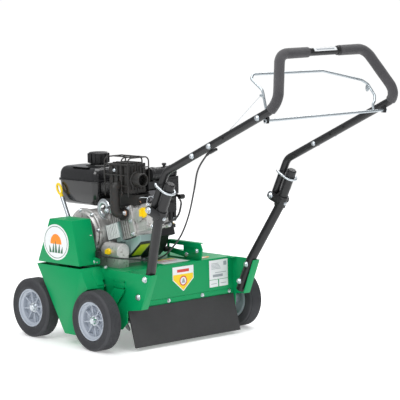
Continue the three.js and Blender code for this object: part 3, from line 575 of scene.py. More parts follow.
MID = -11.5
on_panel([(MID + 47.5, 252.5), (MID - 47.5, 252.5), (MID - 47.5, 208), (MID, 167), (MID + 47.5, 208)],
         0.05, WHITE)
on_panel([(MID + 45, 226), (MID - 45, 226), (MID - 45, 209.5), (MID, 170.5), (MID + 45, 209.5)],
         0.25, YELLOW)
card(MID - 27, MID + 27, 233, 243, 0.25, LABEL_RED)
on_panel([(MID + a * 0.34, 203 + b * 0.34) for a, b in oval(0, 0, 50, 50, 36)], 0.45, LABEL_RED)
on_panel([(MID + a * 0.26, 203 + b * 0.26) for a, b in oval(0, 0, 50, 50, 36)], 0.65, WHITE)
on_panel([(MID - 8, 196), (MID + 8, 196), (MID + 2, 211), (MID - 4, 211)], 0.85, LABEL_GREY)
card(-218, -132, 190, 257, 0.05, WHITE)
card(-218, -177, 164, 188.5, 0.05, WHITE)
card(-172, -132, 164, 188.5, 0.05, WHITE)
for k in range(5):
    card(-186 + 3 * k, -142, 226 + 4.6 * k, 227.6 + 4.6 * k, 0.25, LABEL_GREY)
for block in ((-212, -198, 236, 250), (-194, -148, 198, 207), (-210, -158, 212, 214),
              (-210, -184, 174, 176), (-165, -140, 174, 176)):
    card(*block, 0.25, LABEL_GREY)
TOP = 262.1


def on_top(x0, x1, y0, y1, lift, m):
    labels.prism([(x0, y0), (x1, y0), (x1, y1), (x0, y1)], (TOP + lift, TOP + lift + 0.25), m, axis="z")


on_top(-74, 42, -66, 30, 0.0, WHITE)
on_top(-72, 8, -64, -44, 0.3, YELLOW)
on_top(-58, 26, -24, -17, 0.3, LABEL_RED)
on_top(-40, 20, 0, 3, 0.3, LABEL_GREY)
labels.prism(oval(-140, 8, 42, 15), (TOP, TOP + 0.3), LABEL_ORANGE, axis="z")
labels.prism(oval(-140, 8, 30, 9), (TOP + 0.2, TOP + 0.5), WHITE, axis="z")
labels.build("deck_labels", "chassis", "green_paint")

# ---- Handle ---------------------------------------------------------------------------------
HANDLE_X = 272.5
KNEE = (267, 802, 868)
RISER = (188, 727, 1019)
lower_run = [(227, 112, 156), (227, 165, 268), (HANDLE_X, 255, 455), (HANDLE_X, 317, 585.6)]
side_run = [(HANDLE_X, 227.3, 484.2), (HANDLE_X, 294, 622.8), KNEE, RISER]
upper_run = side_run + [(-x, y, z) for x, y, z in reversed(side_run)]
TUBE_Y, TUBE_Z = 0.434, 0.901
TUBE_DIR = Vector((0, TUBE_Y, TUBE_Z)).normalized()
TUBE_BACK = Vector((0, TUBE_Z, -TUBE_Y))
LOWER_TUBE_R = 15.9
UPPER_TUBE_R = 12.7


def dome_ends(points, radius, edge=1.2):
    """Points and radii of a tube whose ends are slightly rounded."""
    a, b = points[0], points[-1]
    near, far = a + (points[1] - a).normalized() * edge, b + (points[-2] - b).normalized() * edge
    p = [a, near] + points[1:-1] + [far, b]
    return p, [radius - edge] + [radius] * (len(p) - 2) + [radius - edge]


for side in ("left", "right"):
    s = Shape()
    p, r = dome_ends(rounded(lower_run, 60, 5), LOWER_TUBE_R)
    s.sweep(p, r, BLACK_STEEL, 36)
    end = Vector(lower_run[-1])
    s.rod(end - TUBE_DIR * 2, end + TUBE_DIR * 2.2, 13.4, BLACK_PLASTIC, 32, 1.2)
    if side == "right":
        s.flipped()
    s.build(f"lower_handle_tube_{side}_looks", "chassis", "black_steel", (f"lower_handle_tube_{side}",))

s = Shape()
p, r = dome_ends(rounded(upper_run, 50, 5), UPPER_TUBE_R)
s.sweep(p, r, BLACK_STEEL, 32)
for sign in (1, -1):
    s.box(sorted((sign * 256, sign * 264)), (737.5, 752.5), (812.5, 836), BLACK_STEEL, 1.5)
s.rod((-67, RISER[1], RISER[2]), (-59, RISER[1], RISER[2]), 14.8, BLACK_PLASTIC, 32, 1)
s.build("upper_handle_looks", "handle", "black_steel", ("upper_handle",))


def on_upper_tube(y):
    """Centre (x, z) of the straight upper tube at this distance back."""
    t = (y - 294) / (KNEE[1] - 294)
    return HANDLE_X + t * (KNEE[0] - HANDLE_X), 622.8 + t * (KNEE[2] - 622.8)


fittings = Shape()
for y in (430.0, 508.0, 724.0):
    for sign in (1, -1):
        x, z = on_upper_tube(y)
        fittings.bolt((sign * (x + UPPER_TUBE_R - 0.6), y, z - 2), (sign, 0, 0), r=7.4, flange=9.4)
        if y < 500:
            fittings.bolt((sign * (x - UPPER_TUBE_R + 0.6), y, z - 2), (-sign, 0, 0), r=6.4,
                          flange=8.0, height=4)
# Dark discs on the tube stand in for open bolt holes: painted shade inside the holes.
for y, side in ((508.0, -1), (569.0, -1), (572.0, 1)):
    x, z = on_upper_tube(y)
    x = x + UPPER_TUBE_R if side > 0 else UPPER_TUBE_R - x
    fittings.rod((x - 0.3, y, z - 2), (x + 0.35, y, z - 2), 4.2, PAINTED_HOLE_SHADE, 20, 0.1)
fittings.build("handle_bolts", "handle", "zinc")

plate = Shape()
turn = ((0, RISER[1], RISER[2]), "X", 36)
Y, Z = RISER[1:]
plate.box((-49, 49), (Y + 12.2, Y + 13.3), (Z - 6, Z + 6), WHITE, 0.4, turn)
plate.box((-38, 40), (Y + 13.2, Y + 13.6), (Z - 1.6, Z + 1.6), LABEL_GREY, 0.1, turn)
plate.build("crossbar_plate", "handle", "foam")

GRIP_END = 68
FOAM_R = 16.5
for side in ("left", "right"):
    path = rounded(upper_run, 50, 5)
    grip = []
    for q0, q1 in zip(path, path[1:]):
        for k in range(12):
            q = q0.lerp(q1, k / 12)
            if (grip or q.y > 769) and q.x > GRIP_END:
                grip.append(q)
    grip.append(Vector((GRIP_END, RISER[1], RISER[2])))
    thin = [grip[0]]
    for q in grip[1:]:
        if (q - thin[-1]).length > 3.5:
            thin.append(q)
    p, r = dome_ends(thin, FOAM_R, 1.8)
    s = Shape()
    s.sweep(p, [v + 0.12 * math.sin(i * 0.9) for i, v in enumerate(r)], FOAM, 40)
    if side == "right":
        s.flipped()
    grip_piece = s.build(f"foam_grip_{side}_looks", "handle", "foam", (f"foam_grip_{side}",))

for side in ("left", "right"):
    refine(f"fold_bracket_{side}", BLACK_STEEL, "black_steel", 0.9, base=GROUND)
    sign = 1 if side == "left" else -1
    s = Shape()
    s.bolt((sign * (HANDLE_X + 20.4), 232, 494), (sign, 0, 0), r=9.0, flange=11.5, height=7)
    s.bolt((sign * (HANDLE_X - 20.4), 232, 494), (-sign, 0, 0), r=9.0, flange=11.5, height=7)
    back = Vector((sign * HANDLE_X, 266, 478)) + TUBE_BACK * 20.4
    s.bolt(back, TUBE_BACK, r=5.0, flange=6.5, height=3)
    s.build(f"fold_bolt_{side}", "chassis", "zinc")

RING_R, RING_STRAIGHT = 23, 15
for side in ("left", "right"):
    s = Shape()
    round_back = [math.pi / 2 * (1 - k / 10) for k in range(11)]
    round_front = [math.radians(40) * k / 5 for k in range(6)]
    outline = [(RING_R * math.cos(a), RING_STRAIGHT + RING_R * math.sin(a)) for a in round_back]
    outline += [(RING_R * math.cos(a), -RING_STRAIGHT - RING_R * math.sin(a)) for a in round_front]
    outline = [(-a, b) for a, b in reversed(outline[1:])] + outline
    tilt = Matrix.Rotation(math.atan2(-TUBE_Y, TUBE_Z), 3, "X")
    centre = Vector((HANDLE_X, 290.7, 569.4))
    loop = [tilt @ Vector((a, b, 0)) + centre for a, b in outline]
    fine = []
    for q0, q1 in zip(loop, loop[1:]):
        count = max(1, round((q1 - q0).length))
        fine += [q0.lerp(q1, k / count) for k in range(count)]
    fine.append(loop[-1])
    s.sweep(fine, [(3.7, 4.1, 4.3, 4.1)[i % 4] for i in range(len(fine))], ZINC, 14)
    if side == "right":
        s.flipped()
    s.build(f"lock_ring_{side}_looks", f"ring_{side}", "zinc", (f"lock_ring_{side}",), math.radians(60))

BAIL_Y, BAIL_Z = 745, 820
BAIL_R = 4.2
hoop = [(250, BAIL_Y, BAIL_Z), (250, 733, 852), (250, 716, 911), (250, 666, 942), (236, 659, 955),
        (-60, 666, 951), (-232, 672, 914), (-250, 684, 900), (-250, 714, 866), (-236, 727, 849),
        (-222, 733, 841), (-213, BAIL_Y, BAIL_Z)]
s = Shape()
s.sweep(rounded(hoop, 14, 10), BAIL_R, WIRE, 16)
s.rod((-268, BAIL_Y, BAIL_Z), (268, BAIL_Y, BAIL_Z), BAIL_R, WIRE, 18)
s.rod((252, 724, 893), (252, 709, 895), 4.6, WIRE, 14)
s.prism(oval(681, 888, 7, 12, 20), (-252.4, -248.6), WIRE, 0.5)
for x in (266.5, -266.5):
    s.rod((x - 2, BAIL_Y, BAIL_Z), (x + 1.5, BAIL_Y, BAIL_Z), 7.0, ZINC, 20)
s.build("clutch_bail_looks", "bail", "zinc", ("clutch_bail",))

# ---- Cables ---------------------------------------------------------------------------------
cable_route = [(255.5, 494, 709), (257, 470, 690), (257, 430, 640), (253, 408, 575), (250, 379, 491),
               (240, 330, 418), (225, 262, 362), (205, 200, 330), (202, 140, 310), (212, 60, 304),
               (236, 0, 303), (254, -44, 306), (254, -61.4, 308)]


def curve_through(points, steps=8):
    """Catmull-Rom curve through points."""
    pts = [Vector(q) for q in points]
    pts = [pts[0] * 2 - pts[1]] + pts + [pts[-1] * 2 - pts[-2]]
    out = []
    for a, b, c, d in zip(pts, pts[1:], pts[2:], pts[3:]):
        for k in range(steps):
            t = k / steps
            cubic = (3 * b - a - 3 * c + d) * t ** 3
            out.append(0.5 * ((2 * b) + (c - a) * t + (2 * a - 5 * b + 4 * c - d) * t * t + cubic))
    out.append(pts[-2])
    return out


s = Shape()
s.sweep(curve_through(cable_route), 2.8, BLACK_PLASTIC, 12)
s.build("clutch_cable_looks", None, "black_plastic", ("clutch_cable",),
        blended=("chassis", "handle", row(225, 262, 362), row(257, 430, 640)))
s = Shape()
wire = [Vector((255.5, 496, 711)).lerp(Vector((252, 707, 891)), k / 24) for k in range(25)]
s.sweep(wire, 1.0, ZINC, 8)
s.build("clutch_inner_wire_looks", None, "zinc", ("clutch_inner_wire",),
        blended=("handle", "bail", row(255, 540, 749), row(252, 707, 891)))
refine("cable_clip", BLACK_PLASTIC, "black_plastic", 1.5, base=GROUND)
s = Shape()
ferrule = [Vector(cable_route[0]).lerp(Vector(cable_route[1]), t) for t in (0, 0.15, 0.85, 1.0)]
s.sweep(ferrule, [3.4, 4.4, 4.4, 3.2], BLACK_PLASTIC, 16)
s.rod((255.5, 493, 708.2), (255.4, 502, 716), 2.6, ZINC, 14)
s.build("cable_ferrules", "handle", "black_plastic")

# ---- Engine ---------------------------------------------------------------------------------
CRANK = (-190.0, 368.0)
CYLINDER_TILT = math.radians(15)
CYL = DECK @ Matrix.Translation((0, CRANK[0], CRANK[1])) @ Matrix.Rotation(CYLINDER_TILT, 4, "X")


def crankcase_trim(s):
    """Bolt bosses round the case, ribs and the drain boss behind, a foot, the dipstick tube."""
    for degrees in (20, 55, 95, 130, 165, 200, 235):
        a = math.radians(degrees)
        y, z = CRANK[0] + 73 * math.cos(a), CRANK[1] + 73 * math.sin(a)
        s.rod((188, y, z), (195.8, y, z), 8.5, ALUMINIUM, 20, 1.0)
    for k in range(5):
        z = 300 + 11 * k
        s.box((60, 192), (-82, -78.5), (z, z + 4), ALUMINIUM, 0.8)
    s.rod((190, -93, 318), (190, -6.5, 318), 27.3, ALUMINIUM, 40, 2.5)
    s.box((163, 204), (-70, -16), (262.6, 271), ALUMINIUM, 2.0)
    s.sweep([(186, -270, 345), (186, -337, 480)], 7.4, ZINC, 20)


refine("engine_crankcase", ALUMINIUM, "cast_aluminium", 2.2, extra=crankcase_trim)

s = Shape(DECK)
Y, Z = CRANK
s.lathe([(13, 196.4), (84, 196.4), (85, 198), (85, 206), (83.5, 208), (76, 208.6), (72.5, 215),
         (70.5, 216.6), (44, 218.4), (41, 221), (36, 227), (34.5, 228), (13, 228)],
        (0, Y, Z), ALUMINIUM, sides=96)
for k in range(8):
    a = math.radians(45 * k + 12)
    y, z = Y + 79 * math.cos(a), Z + 79 * math.sin(a)
    s.rod((197, y, z), (210, y, z), 8, ALUMINIUM, 20, 1)
    s.bolt((210, y, z), (1, 0, 0), r=5.2, flange=6.4, height=3.5)
for k in range(12):
    turn = ((200, Y, Z), "X", 30 * k + 3)
    s.box((212, 219.0), (Y - 1.8, Y + 1.8), (Z + 40, Z + 71), ALUMINIUM, 0.9, turn)
s.build("engine_side_cover_looks", "chassis", "cast_aluminium", ("engine_side_cover",))


def fins_trim(s):
    """Dark barrel between the fins, painted shade in the gaps between them."""
    # Near-black core seen through the fin gaps: painted shade.
    s.box((59.2, 156.8), (92, 183.5), (-44.8, 44.8), HEAT_BLACK_AND_SHADE, 0)


refine("cylinder_fins", ALUMINIUM, "cast_aluminium", 0.5, extra=fins_trim, base=CYL)


def head_trim(s):
    """Rocker cover with its bolts and cast ribs."""
    for x in (74, 108, 142):
        s.box((x - 3, x + 3), (214, 270), (41, 46), ALUMINIUM, 1.2)
    for x, w in ((70, 36), (146, 36), (70, -36), (146, -36)):
        s.rod((x, 262, w), (x, 285, w), 9, ALUMINIUM, 22, 1.2)
        s.bolt((x, 285, w), (0, 1, 0), r=6.0, flange=7.5, height=4)
    for w in (-30, -10, 10, 30):
        s.box((151, 156.5), (216, 266), (w - 2.4, w + 2.4), ALUMINIUM, 1.0)
    s.rod((150, 236, 14), (160, 236, 14), 24, ALUMINIUM, 36, 2)
    s.lathe([(19, 158), (25, 158), (25, 161), (19, 161)], (0, 236, 14), ALUMINIUM, sides=40)
    s.box((60, 158), (206, 212.5), (-55.5, 55.5), ALUMINIUM, 1.5)
    for x, w in ((163, 44), (163, -44), (163, 0)):
        s.bolt((x, 199, w), (1, 0, 0), r=5.5, flange=7.5, height=5)


refine("cylinder_head", ALUMINIUM, "cast_aluminium", 3.0, segments=3, extra=head_trim, base=CYL)


def shroud_trim(s):
    """Upright slots in the block beside the fins, with a bar at each end of them; the dark sheet behind
    the slots is painted shade.
    """
    # Near-black sheet behind the slots: painted shade.
    s.box((173.5, 174.6), (83, 146), (-43, 7), HEAT_BLACK_AND_SHADE, 0)
    for k in range(7):
        u = 86.0 + 8.8 * k
        s.box((174, 181), (u, u + 4.6), (-43, 7), PALE_SHEET, 0.6)
    s.box((166.5, 176), (80, 84.5), (-45, 9), TEAL, 0.8)
    s.box((166.5, 176), (144.5, 149), (-45, 9), TEAL, 0.8)


def label_plate():
    """Dark plate on the sloping rear face of the air guide."""
    s = Shape(DECK)
    slope = Vector((0, 74, 62)).normalized()
    out = Vector((0, slope.z, -slope.y))
    a = Vector((0, -24, 292))
    for x0, x1, t0, t1, lift, m in ((103, 161, 1, 96, 0.4, BLACK_PLASTIC),
                                    (112, 153, 16, 82, 2.2, LABEL_LIME)):
        low, high = a + slope * t0 + out * lift, a + slope * t1 + out * lift
        thick = out * 1.8
        s.prism([(v.y, v.z) for v in (low, high, high + thick, low + thick)], (x0, x1), m, 0.4)
    s.build("air_guide_label", "chassis", "cast_aluminium")


label_plate()
refine("cylinder_shroud", TEAL, "cast_aluminium", 1.2, extra=shroud_trim, base=CYL)


def blower_trim(s):
    """Bolts and their bosses round the blower housing."""
    for degrees in range(0, 360, 40):
        a = math.radians(degrees)
        y, z = CRANK[0] + 112 * math.cos(a), CRANK[1] + 112 * math.sin(a)
        if z > 285:
            s.rod((-70, y, z), (-76, y, z), 9, BLACK_PLASTIC, 20, 1.2)
            s.bolt((-76, y, z), (-1, 0, 0), r=4.6, flange=6.0, height=3)


refine("blower_housing", BLACK_PLASTIC, "black_plastic", 4.0, segments=3, extra=blower_trim)

s = Shape(DECK)
s.lathe([(0, -109.6), (24, -109.6), (26, -107), (73, -107), (76, -108.3), (79, -107), (88, -97),
         (88, -72.4), (0, -72.4)], (0, Y, Z), BLACK_PLASTIC, sides=80)
for k in range(30):
    turn = ((-100, Y, Z), "X", 12 * k)
    s.box((-109.2, -105), (Y - 1.7, Y + 1.7), (Z + 29, Z + 71), BLACK_PLASTIC, 0.6, turn)
for k in range(3):
    a = math.radians(120 * k + 40)
    s.bolt((-78, Y + 92 * math.cos(a), Z + 92 * math.sin(a)), (-1, 0, 0), r=5, flange=6.5, height=4)
s.build("recoil_starter_looks", "chassis", "black_plastic", ("recoil_starter",))

s = Shape(DECK)
s.box((-113, -75), (-98, -90), (364, 380), YELLOW, 3.0)
s.box((-106, -82), (-91, -76), (365.5, 378.5), BLACK_PLASTIC, 3.0)
s.box((-108, -80), (-99.2, -97), (367, 377), BLACK_PLASTIC, 1.2)
s.build("recoil_grip_looks", "starter_grip", "yellow_plastic", ("recoil_grip",))
s = Shape(DECK)
s.sweep([(-94, -108 + 1.4 * k, 372) for k in range(16)], 1.9, BLACK_PLASTIC, 10)
s.build("starter_rope", None, "black_plastic",
        blended=("chassis", "starter_grip", row(-94, -106, 372, DECK), row(-94, -88, 372, DECK)))
refine("throttle_lever", BLACK_PLASTIC, "black_plastic", 1.0)

# Fuel tank: stacked rounded rectangles.
X0, X1, Y0, Y1 = 46, 178, -370, -160


def tank_level(z, inset, corner):
    """Rounded rectangle at height z, of 36 points."""
    a, b = X0 + inset + corner, X1 - inset - corner
    c, d = Y0 + inset + corner, Y1 - inset - corner
    ring = []
    for cx, cy, start in ((b, d, 0), (a, d, 90), (a, c, 180), (b, c, 270)):
        for k in range(9):
            t = math.radians(start + 90 * k / 8)
            ring.append(Vector((cx + corner * math.cos(t), cy + corner * math.sin(t), z)))
    return ring


levels = [(456, 30, 14), (457.5, 20, 16), (462, 12, 20), (471, 7, 22), (500, 4, 24), (537, 0.5, 24),
          (538.5, -3.8, 28), (540, -4, 28), (541.8, -4, 28), (542.4, -2.8, 27), (543.4, -4, 28),
          (545, -3.8, 28), (546.5, 0, 25), (566, 1.5, 24), (576, 5, 22), (583, 10, 20), (587, 18, 16),
          (588, 28, 12)]
s = Shape(DECK)
verts, faces = [], []
for z, inset, corner in levels:
    verts += tank_level(z, inset, corner)
count = 36
for i in range(len(levels) - 1):
    for k in range(count):
        n = (k + 1) % count
        faces.append((i * count + k, i * count + n, (i + 1) * count + n, (i + 1) * count + k))
faces += [tuple(range(count))[::-1], tuple(range((len(levels) - 1) * count, len(levels) * count))]
s.faces(verts, faces, GLOSS_BLACK)
CAP = (84, -256)
s.lathe([(45, 587.5), (45, 590), (43.5, 591.5), (31, 591.5), (29, 593), (29, 596), (0, 596), (0, 587.5)],
        (*CAP, 0), GLOSS_BLACK, axis="z", sides=48)
s.box((150, 172), (-300, -210), (587, 589.4), GLOSS_BLACK, 1.0)
s.build("fuel_tank_looks", "chassis", "black_plastic", ("fuel_tank",), math.radians(40))

s = Shape(DECK)
s.lathe([(0, 633.6), (30, 633.6), (33, 632.5), (35, 630), (35, 600), (34, 596.6), (0, 596.6)],
        (*CAP, 0), BLACK_PLASTIC, axis="z", sides=64)
for k in range(14):
    turn = ((*CAP, 610), "Z", math.degrees(2 * math.pi * k / 14))
    s.box((CAP[0] + 31, CAP[0] + 38.2), (CAP[1] - 4.6, CAP[1] + 4.6), (598, 629), BLACK_PLASTIC, 2.2,
          turn)
s.lathe([(0, 634.2), (12, 634.2), (14, 633), (0, 633)], (*CAP, 0), BLACK_PLASTIC, axis="z", sides=40)
s.build("fuel_cap_looks", "tank_cap", "black_plastic", ("fuel_cap",))

# Muffler: two pressed shells with ribs and a seam, its outlet, then the wire cage.
s = Shape(DECK)
s.box((109, 181), (-82, 22), (515, 613), HEAT_BLACK_AND_SHADE, 9)
s.prism([(-85, 512), (25, 512), (25, 616), (-85, 616)], (143, 147.5), HEAT_BLACK_AND_SHADE, 3)
for y in (-66, -40, -14, 8):
    s.box((160, 184.5), (y - 6, y + 6), (526, 604), HEAT_BLACK_AND_SHADE, 3.5)
for x in (120, 134, 156, 170):
    s.box((x - 3.5, x + 3.5), (-72, 12), (606, 616.5), HEAT_BLACK_AND_SHADE, 2.5)
    s.box((x - 3.0, x + 3.0), (16, 25.5), (526, 604), HEAT_BLACK_AND_SHADE, 2)
OUTLET = (152, 0, 560)
s.lathe([(23, 20), (23, 58), (22, 60), (19, 60), (18, 58), (18, 34), (0, 34), (0, 20)], OUTLET,
        HEAT_BLACK_AND_SHADE, axis="y", sides=48)
# Near-black disc deep in the outlet: painted shade inside the pipe.
s.lathe([(17.8, 35), (0, 35), (0, 34.2), (17.8, 34.2)], OUTLET, PAINTED_HOLE_SHADE, axis="y", sides=32)
s.lathe([(24.5, 22), (28, 22), (28, 25), (24.5, 28)], OUTLET, HEAT_BLACK_AND_SHADE, axis="y", sides=40)
for z in (530, 590):
    s.bolt((184, -52, z), (1, 0, 0), r=4.6, flange=6.2, height=3)
s.build("muffler_looks", "chassis", "black_steel", ("muffler",))

s = Shape(DECK)
gx0, gx1, gz0, gz1 = 98, 190, 504, 634
for y in (-94, -8, 26):
    hoop = rounded([(gx0, y, gz0), (gx0, y, gz1), (gx1, y, gz1), (gx1, y, gz0)], 16, 12)
    s.sweep(hoop, 2.4, HEAT_BLACK_AND_SHADE, 10)
for x, z in ((gx1, 612), (gx1, 576), (gx1, 540), (152, gz1), (116, gz1)):
    s.rod((x, -96, z), (x, 28, z), 2.3, HEAT_BLACK_AND_SHADE, 10)
s.sweep(rounded([(gx0, 28, 540), (gx0, 30, 600), (gx1 - 60, 30, 600)], 10, 15), 2.2, HEAT_BLACK_AND_SHADE, 10)
s.box((184, 192), (-99, -95), (560, 590), HEAT_BLACK_AND_SHADE, 1)
s.build("muffler_guard_looks", "chassis", "black_steel", ("muffler_guard",))

s = Shape(DECK)
elbow = rounded([(186, -28, 538), (204, -28, 538), (204, -28, 446), (168, -28, 446)], 18, 8)
s.sweep(elbow, 16, HEAT_BLACK_AND_SHADE, 32)
s.lathe([(17, 172), (26, 172), (26, 174.5), (17, 174.5)], (0, -28, 446), HEAT_BLACK_AND_SHADE, sides=40)
s.prism([(-84, 434), (-4, 434), (-4, 460), (-84, 460)], (166.5, 173.5), HEAT_BLACK_AND_SHADE, 2)
for y in (-76, -12):
    s.rod((173, y, 447), (177, y, 447), 9.5, COPPER, 24)
    s.bolt((177, y, 447), (1, 0, 0), r=6.6, flange=7.4, height=6)
s.build("exhaust_elbow_looks", "chassis", "black_steel", ("exhaust_elbow",))

# Plated stay curled round the exhaust stud.
s = Shape(DECK)
angles = [math.radians(degrees) for degrees in range(20, 300, 12)]
stay = [(190, -106 + 24 * math.cos(a), 455 + 26 * math.sin(a)) for a in angles]
s.sweep(stay, 6.5, ZINC, 12, section=oval(0, 0, 1.5, 0.5, 12))
coil = [(178 - 2 * k, -106 + 15 * math.cos(k * 0.7), 455 + 15 * math.sin(k * 0.7)) for k in range(20)]
s.sweep(coil, 1.6, ZINC, 8)
s.bolt((184, -96, 450), (1, 0, 0), r=7, flange=9, height=6)
s.box((176, 182), (-124, -84), (420, 432), ALUMINIUM, 2)
s.build("exhaust_stay", "chassis", "zinc")

s = Shape(DECK)
CLEANER = (0, 20, 573)
s.lathe([(0, -14), (21, -14), (23, -12), (23, -4), (21, -3), (21, 8), (22.4, 9), (22.4, 14), (21, 15),
         (21, 70), (23, 72), (23, 80), (21, 82), (21, 91), (19, 92), (0, 92)],
        CLEANER, BLACK_PLASTIC, sides=56)
for k in range(20):
    s.box((-13, -5), (20 - 1.2, 20 + 1.2), (594, 597), BLACK_PLASTIC, 0.5, (CLEANER, "X", 18 * k))
s.rod((24, 20, 590), (24, 20, 600), 5, BLACK_PLASTIC, 24)
s.rod((24, 20, 599), (24, 20, 606), 8, BLACK_PLASTIC, 24, 2)
s.box((-18, 40), (-16, 44), (500, 560), BLACK_PLASTIC, 5)
s.box((-12, 34), (43, 46), (508, 552), BLACK_PLASTIC, 1.2)
s.build("air_cleaner_looks", "chassis", "black_plastic", ("air_cleaner",))

# Carburettor, linkage and wiring between the cleaner and the head.
s = Shape(DECK)
s.box((62, 104), (-22, 30), (478, 518), DARK_STEEL, 4)
s.box((62, 112), (-60, 8), (516, 588), HEAT_BLACK_AND_SHADE, 5)
s.box((40, 104), (8, 30), (524, 548), BLACK_PLASTIC, 4)
s.rod((60, 6, 498), (50, 6, 498), 17, BLACK_PLASTIC, 28, 2)
s.rod((104, 40, 492), (118, 40, 492), 13, DARK_STEEL, 28, 2)
s.rod((84, 34, 462), (84, 34, 482), 16, DARK_STEEL, 32, 3)
s.box((100, 158), (-62, 34), (474, 508), HEAT_BLACK_AND_SHADE, 4)
spring = [(122 - 1.6 * k, 44 + 4.2 * math.cos(k * 0.9), 488 + 4.2 * math.sin(k * 0.9)) for k in range(44)]
s.sweep(spring, 0.9, ZINC, 6)
spring = [(148 + 4.0 * math.cos(k * 0.9), -14 + 1.3 * k, 484 + 4.0 * math.sin(k * 0.9)) for k in range(40)]
s.sweep(spring, 0.9, COPPER, 6)
s.sweep(rounded([(130, 48, 470), (130, 52, 500), (60, 56, 506), (20, 48, 496)], 10, 12), 1.4, ZINC, 8)
s.sweep(rounded([(156, 20, 478), (150, 34, 500), (96, 46, 496)], 10, 12), 1.4, ZINC, 8)
for hose, steps, radius, sides in (
        ([(104, 76, 400), (60, 118, 430), (20, 98, 470), (-10, 60, 480)], 10, 3.4, 12),
        ([(150, -30, 490), (128, 10, 466), (100, 50, 474), (40, 54, 486)], 10, 2.4, 10),
        ([(56, -150, 470), (100, -120, 480), (140, -100, 500), (170, -96, 505)], 8, 2.6, 10)):
    s.sweep(curve_through(hose, steps), radius, BLACK_PLASTIC, sides)
s.box((126, 152), (-110, -88), (480, 512), HEAT_BLACK_AND_SHADE, 2)
s.box((60, 150), (-150, -100), (470, 484), BLACK_PLASTIC, 3)
s.build("carburettor_and_wires", "chassis", "black_plastic")

# Control boxes and lever bank on the rear of the blower housing.
s = Shape(DECK)
s.box((-70, 20), (-74, -30), (396, 470), BLACK_PLASTIC, 5)
s.box((-60, -10), (-34, -20), (430, 462), BLACK_PLASTIC, 4)
s.rod((-52, -24, 478), (-30, -24, 478), 9, BLACK_PLASTIC, 24, 2)
s.box((-64, -20), (-50, -24), (480, 508), BLACK_PLASTIC, 3)
for k in range(5):
    s.box((-66 + 17 * k, -57 + 17 * k), (-31, -26.5), (400, 428), BLACK_PLASTIC, 1)
s.bolt((2, -30, 456), (0, 1, 0), r=5, flange=6.5, height=3)
s.bolt((-60, -30, 404), (0, 1, 0), r=5, flange=6.5, height=3)
s.build("control_box", "chassis", "black_plastic")

s = Shape(DECK)
s.lathe([(0, 152.4), (17, 152.4), (17.2, 153), (17.2, 159.4), (16.4, 160), (0, 160)],
        (0, 60, 452), YELLOW, sides=48)
s.box((159, 172), (57, 63), (440, 464), YELLOW, 2.2)
s.build("oil_filler_cap_looks", "filler_cap", "yellow_plastic", ("oil_filler_cap",))
s = Shape(DECK)
s.lathe([(0, 217.4), (11, 217.4), (11, 222.4), (10.4, 223), (0, 223)], (0, -50, 318), YELLOW, sides=36)
s.box((222, 230), (-57.3, -42.7), (310.7, 325.3), YELLOW, 1.6)
s.build("oil_drain_plug_looks", "drain_plug", "yellow_plastic", ("oil_drain_plug",))
s = Shape(DECK)
stick = Vector((0, -0.4446, 0.8957)).normalized()
side_way = Vector((0, stick.z, -stick.y))
middle = Vector((186, -337, 480)) + stick * 30.5
loop = [middle + side_way * a + stick * b for a, b in oval(0, 0, 11, 18.7, 40)]
s.sweep(loop, 4.0, YELLOW, 14, closed=True)
s.rod(middle - stick * 30, middle - stick * 14, 6.5, YELLOW, 24, 1)
s.rod(middle - stick * 88, middle - stick * 20, 2.0, ZINC, 12)
s.build("dipstick_looks", "oil_dipstick", "yellow_plastic", ("dipstick",))

# ---- Reel and drive -------------------------------------------------------------------------
for node in ("reel_shaft", "reel_pulley", "reel_bearing_left", "reel_bearing_right", "engine_pulley",
             "idler_pulley"):
    refine(node, DARK_STEEL, "dark_steel", 0.4)
for k in range(4):
    refine(f"flail_row_{k + 1}", FLAIL_STEEL, "dark_steel", 0.5)
refine("idler_arm", BLACK_STEEL, "black_steel", 0.6)
refine("drive_belt", FLAP, "flap_rubber", 0.8)

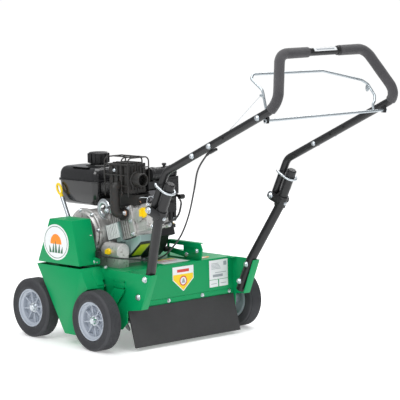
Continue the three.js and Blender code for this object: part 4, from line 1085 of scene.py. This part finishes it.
# ---- Floor, backdrop and light --------------------------------------------------------------
floor_mesh = bpy.data.meshes.new("floor")
FLOOR_R = 4.0
edge = [(x, y, 0) for x, y in oval(0, 0, FLOOR_R, FLOOR_R, 96)]
floor_mesh.from_pydata(edge, [], [tuple(range(96))])
floor = bpy.data.objects.new("floor", floor_mesh)
floor_mat = material("floor_white", (0.93, 0.93, 0.93), 0.6, tint=0.01)
floor_shader = floor_mat.node_tree.nodes["Principled BSDF"]
floor_shader.inputs["Emission Color"].default_value = (1, 1, 1, 1)
floor_shader.inputs["Emission Strength"].default_value = 0.30
floor_mesh.materials.append(floor_mat)
bpy.context.scene.collection.objects.link(floor)


def softbox(name, place, aim, size, power, tone=(1, 1, 1)):
    data = bpy.data.lights.new(name, "AREA")
    data.shape = "RECTANGLE"
    data.size, data.size_y = size
    data.energy = power
    data.color = tone
    lamp = bpy.data.objects.new(name, data)
    lamp.location = place
    lamp.rotation_euler = (Vector(aim) - Vector(place)).to_track_quat("-Z", "Y").to_euler()
    bpy.context.scene.collection.objects.link(lamp)


softbox("key", (3.2, 0.6, 3.6), (0, 0, 0.4), (2.4, 2.4), 100)
softbox("fill", (0.8, 4.6, 2.2), (0, 0, 0.4), (3.0, 2.2), 46)
softbox("top", (-0.6, -0.4, 4.2), (0, 0, 0.3), (3.2, 3.2), 100)
softbox("rim", (-3.6, -2.4, 2.4), (0, 0, 0.6), (2.0, 2.4), 60)

world = bpy.data.worlds.new("studio")
bpy.context.scene.world = world
world.use_nodes = True
nodes, links = world.node_tree.nodes, world.node_tree.links
paths = nodes.new("ShaderNodeLightPath")
bright = nodes.new("ShaderNodeBackground")
bright.inputs["Color"].default_value = (1, 1, 1, 1)
bright.inputs["Strength"].default_value = 1.02
dim = nodes["Background"]
dim.inputs["Color"].default_value = (0.95, 0.97, 1.0, 1)
dim.inputs["Strength"].default_value = 0.40
pick = nodes.new("ShaderNodeMixShader")
links.new(paths.outputs["Is Camera Ray"], pick.inputs["Fac"])
links.new(dim.outputs["Background"], pick.inputs[1])
links.new(bright.outputs["Background"], pick.inputs[2])
links.new(pick.outputs["Shader"], nodes["World Output"].inputs["Surface"])
bpy.context.scene.view_settings.view_transform = "Standard"
bpy.context.scene.view_settings.look = "None"
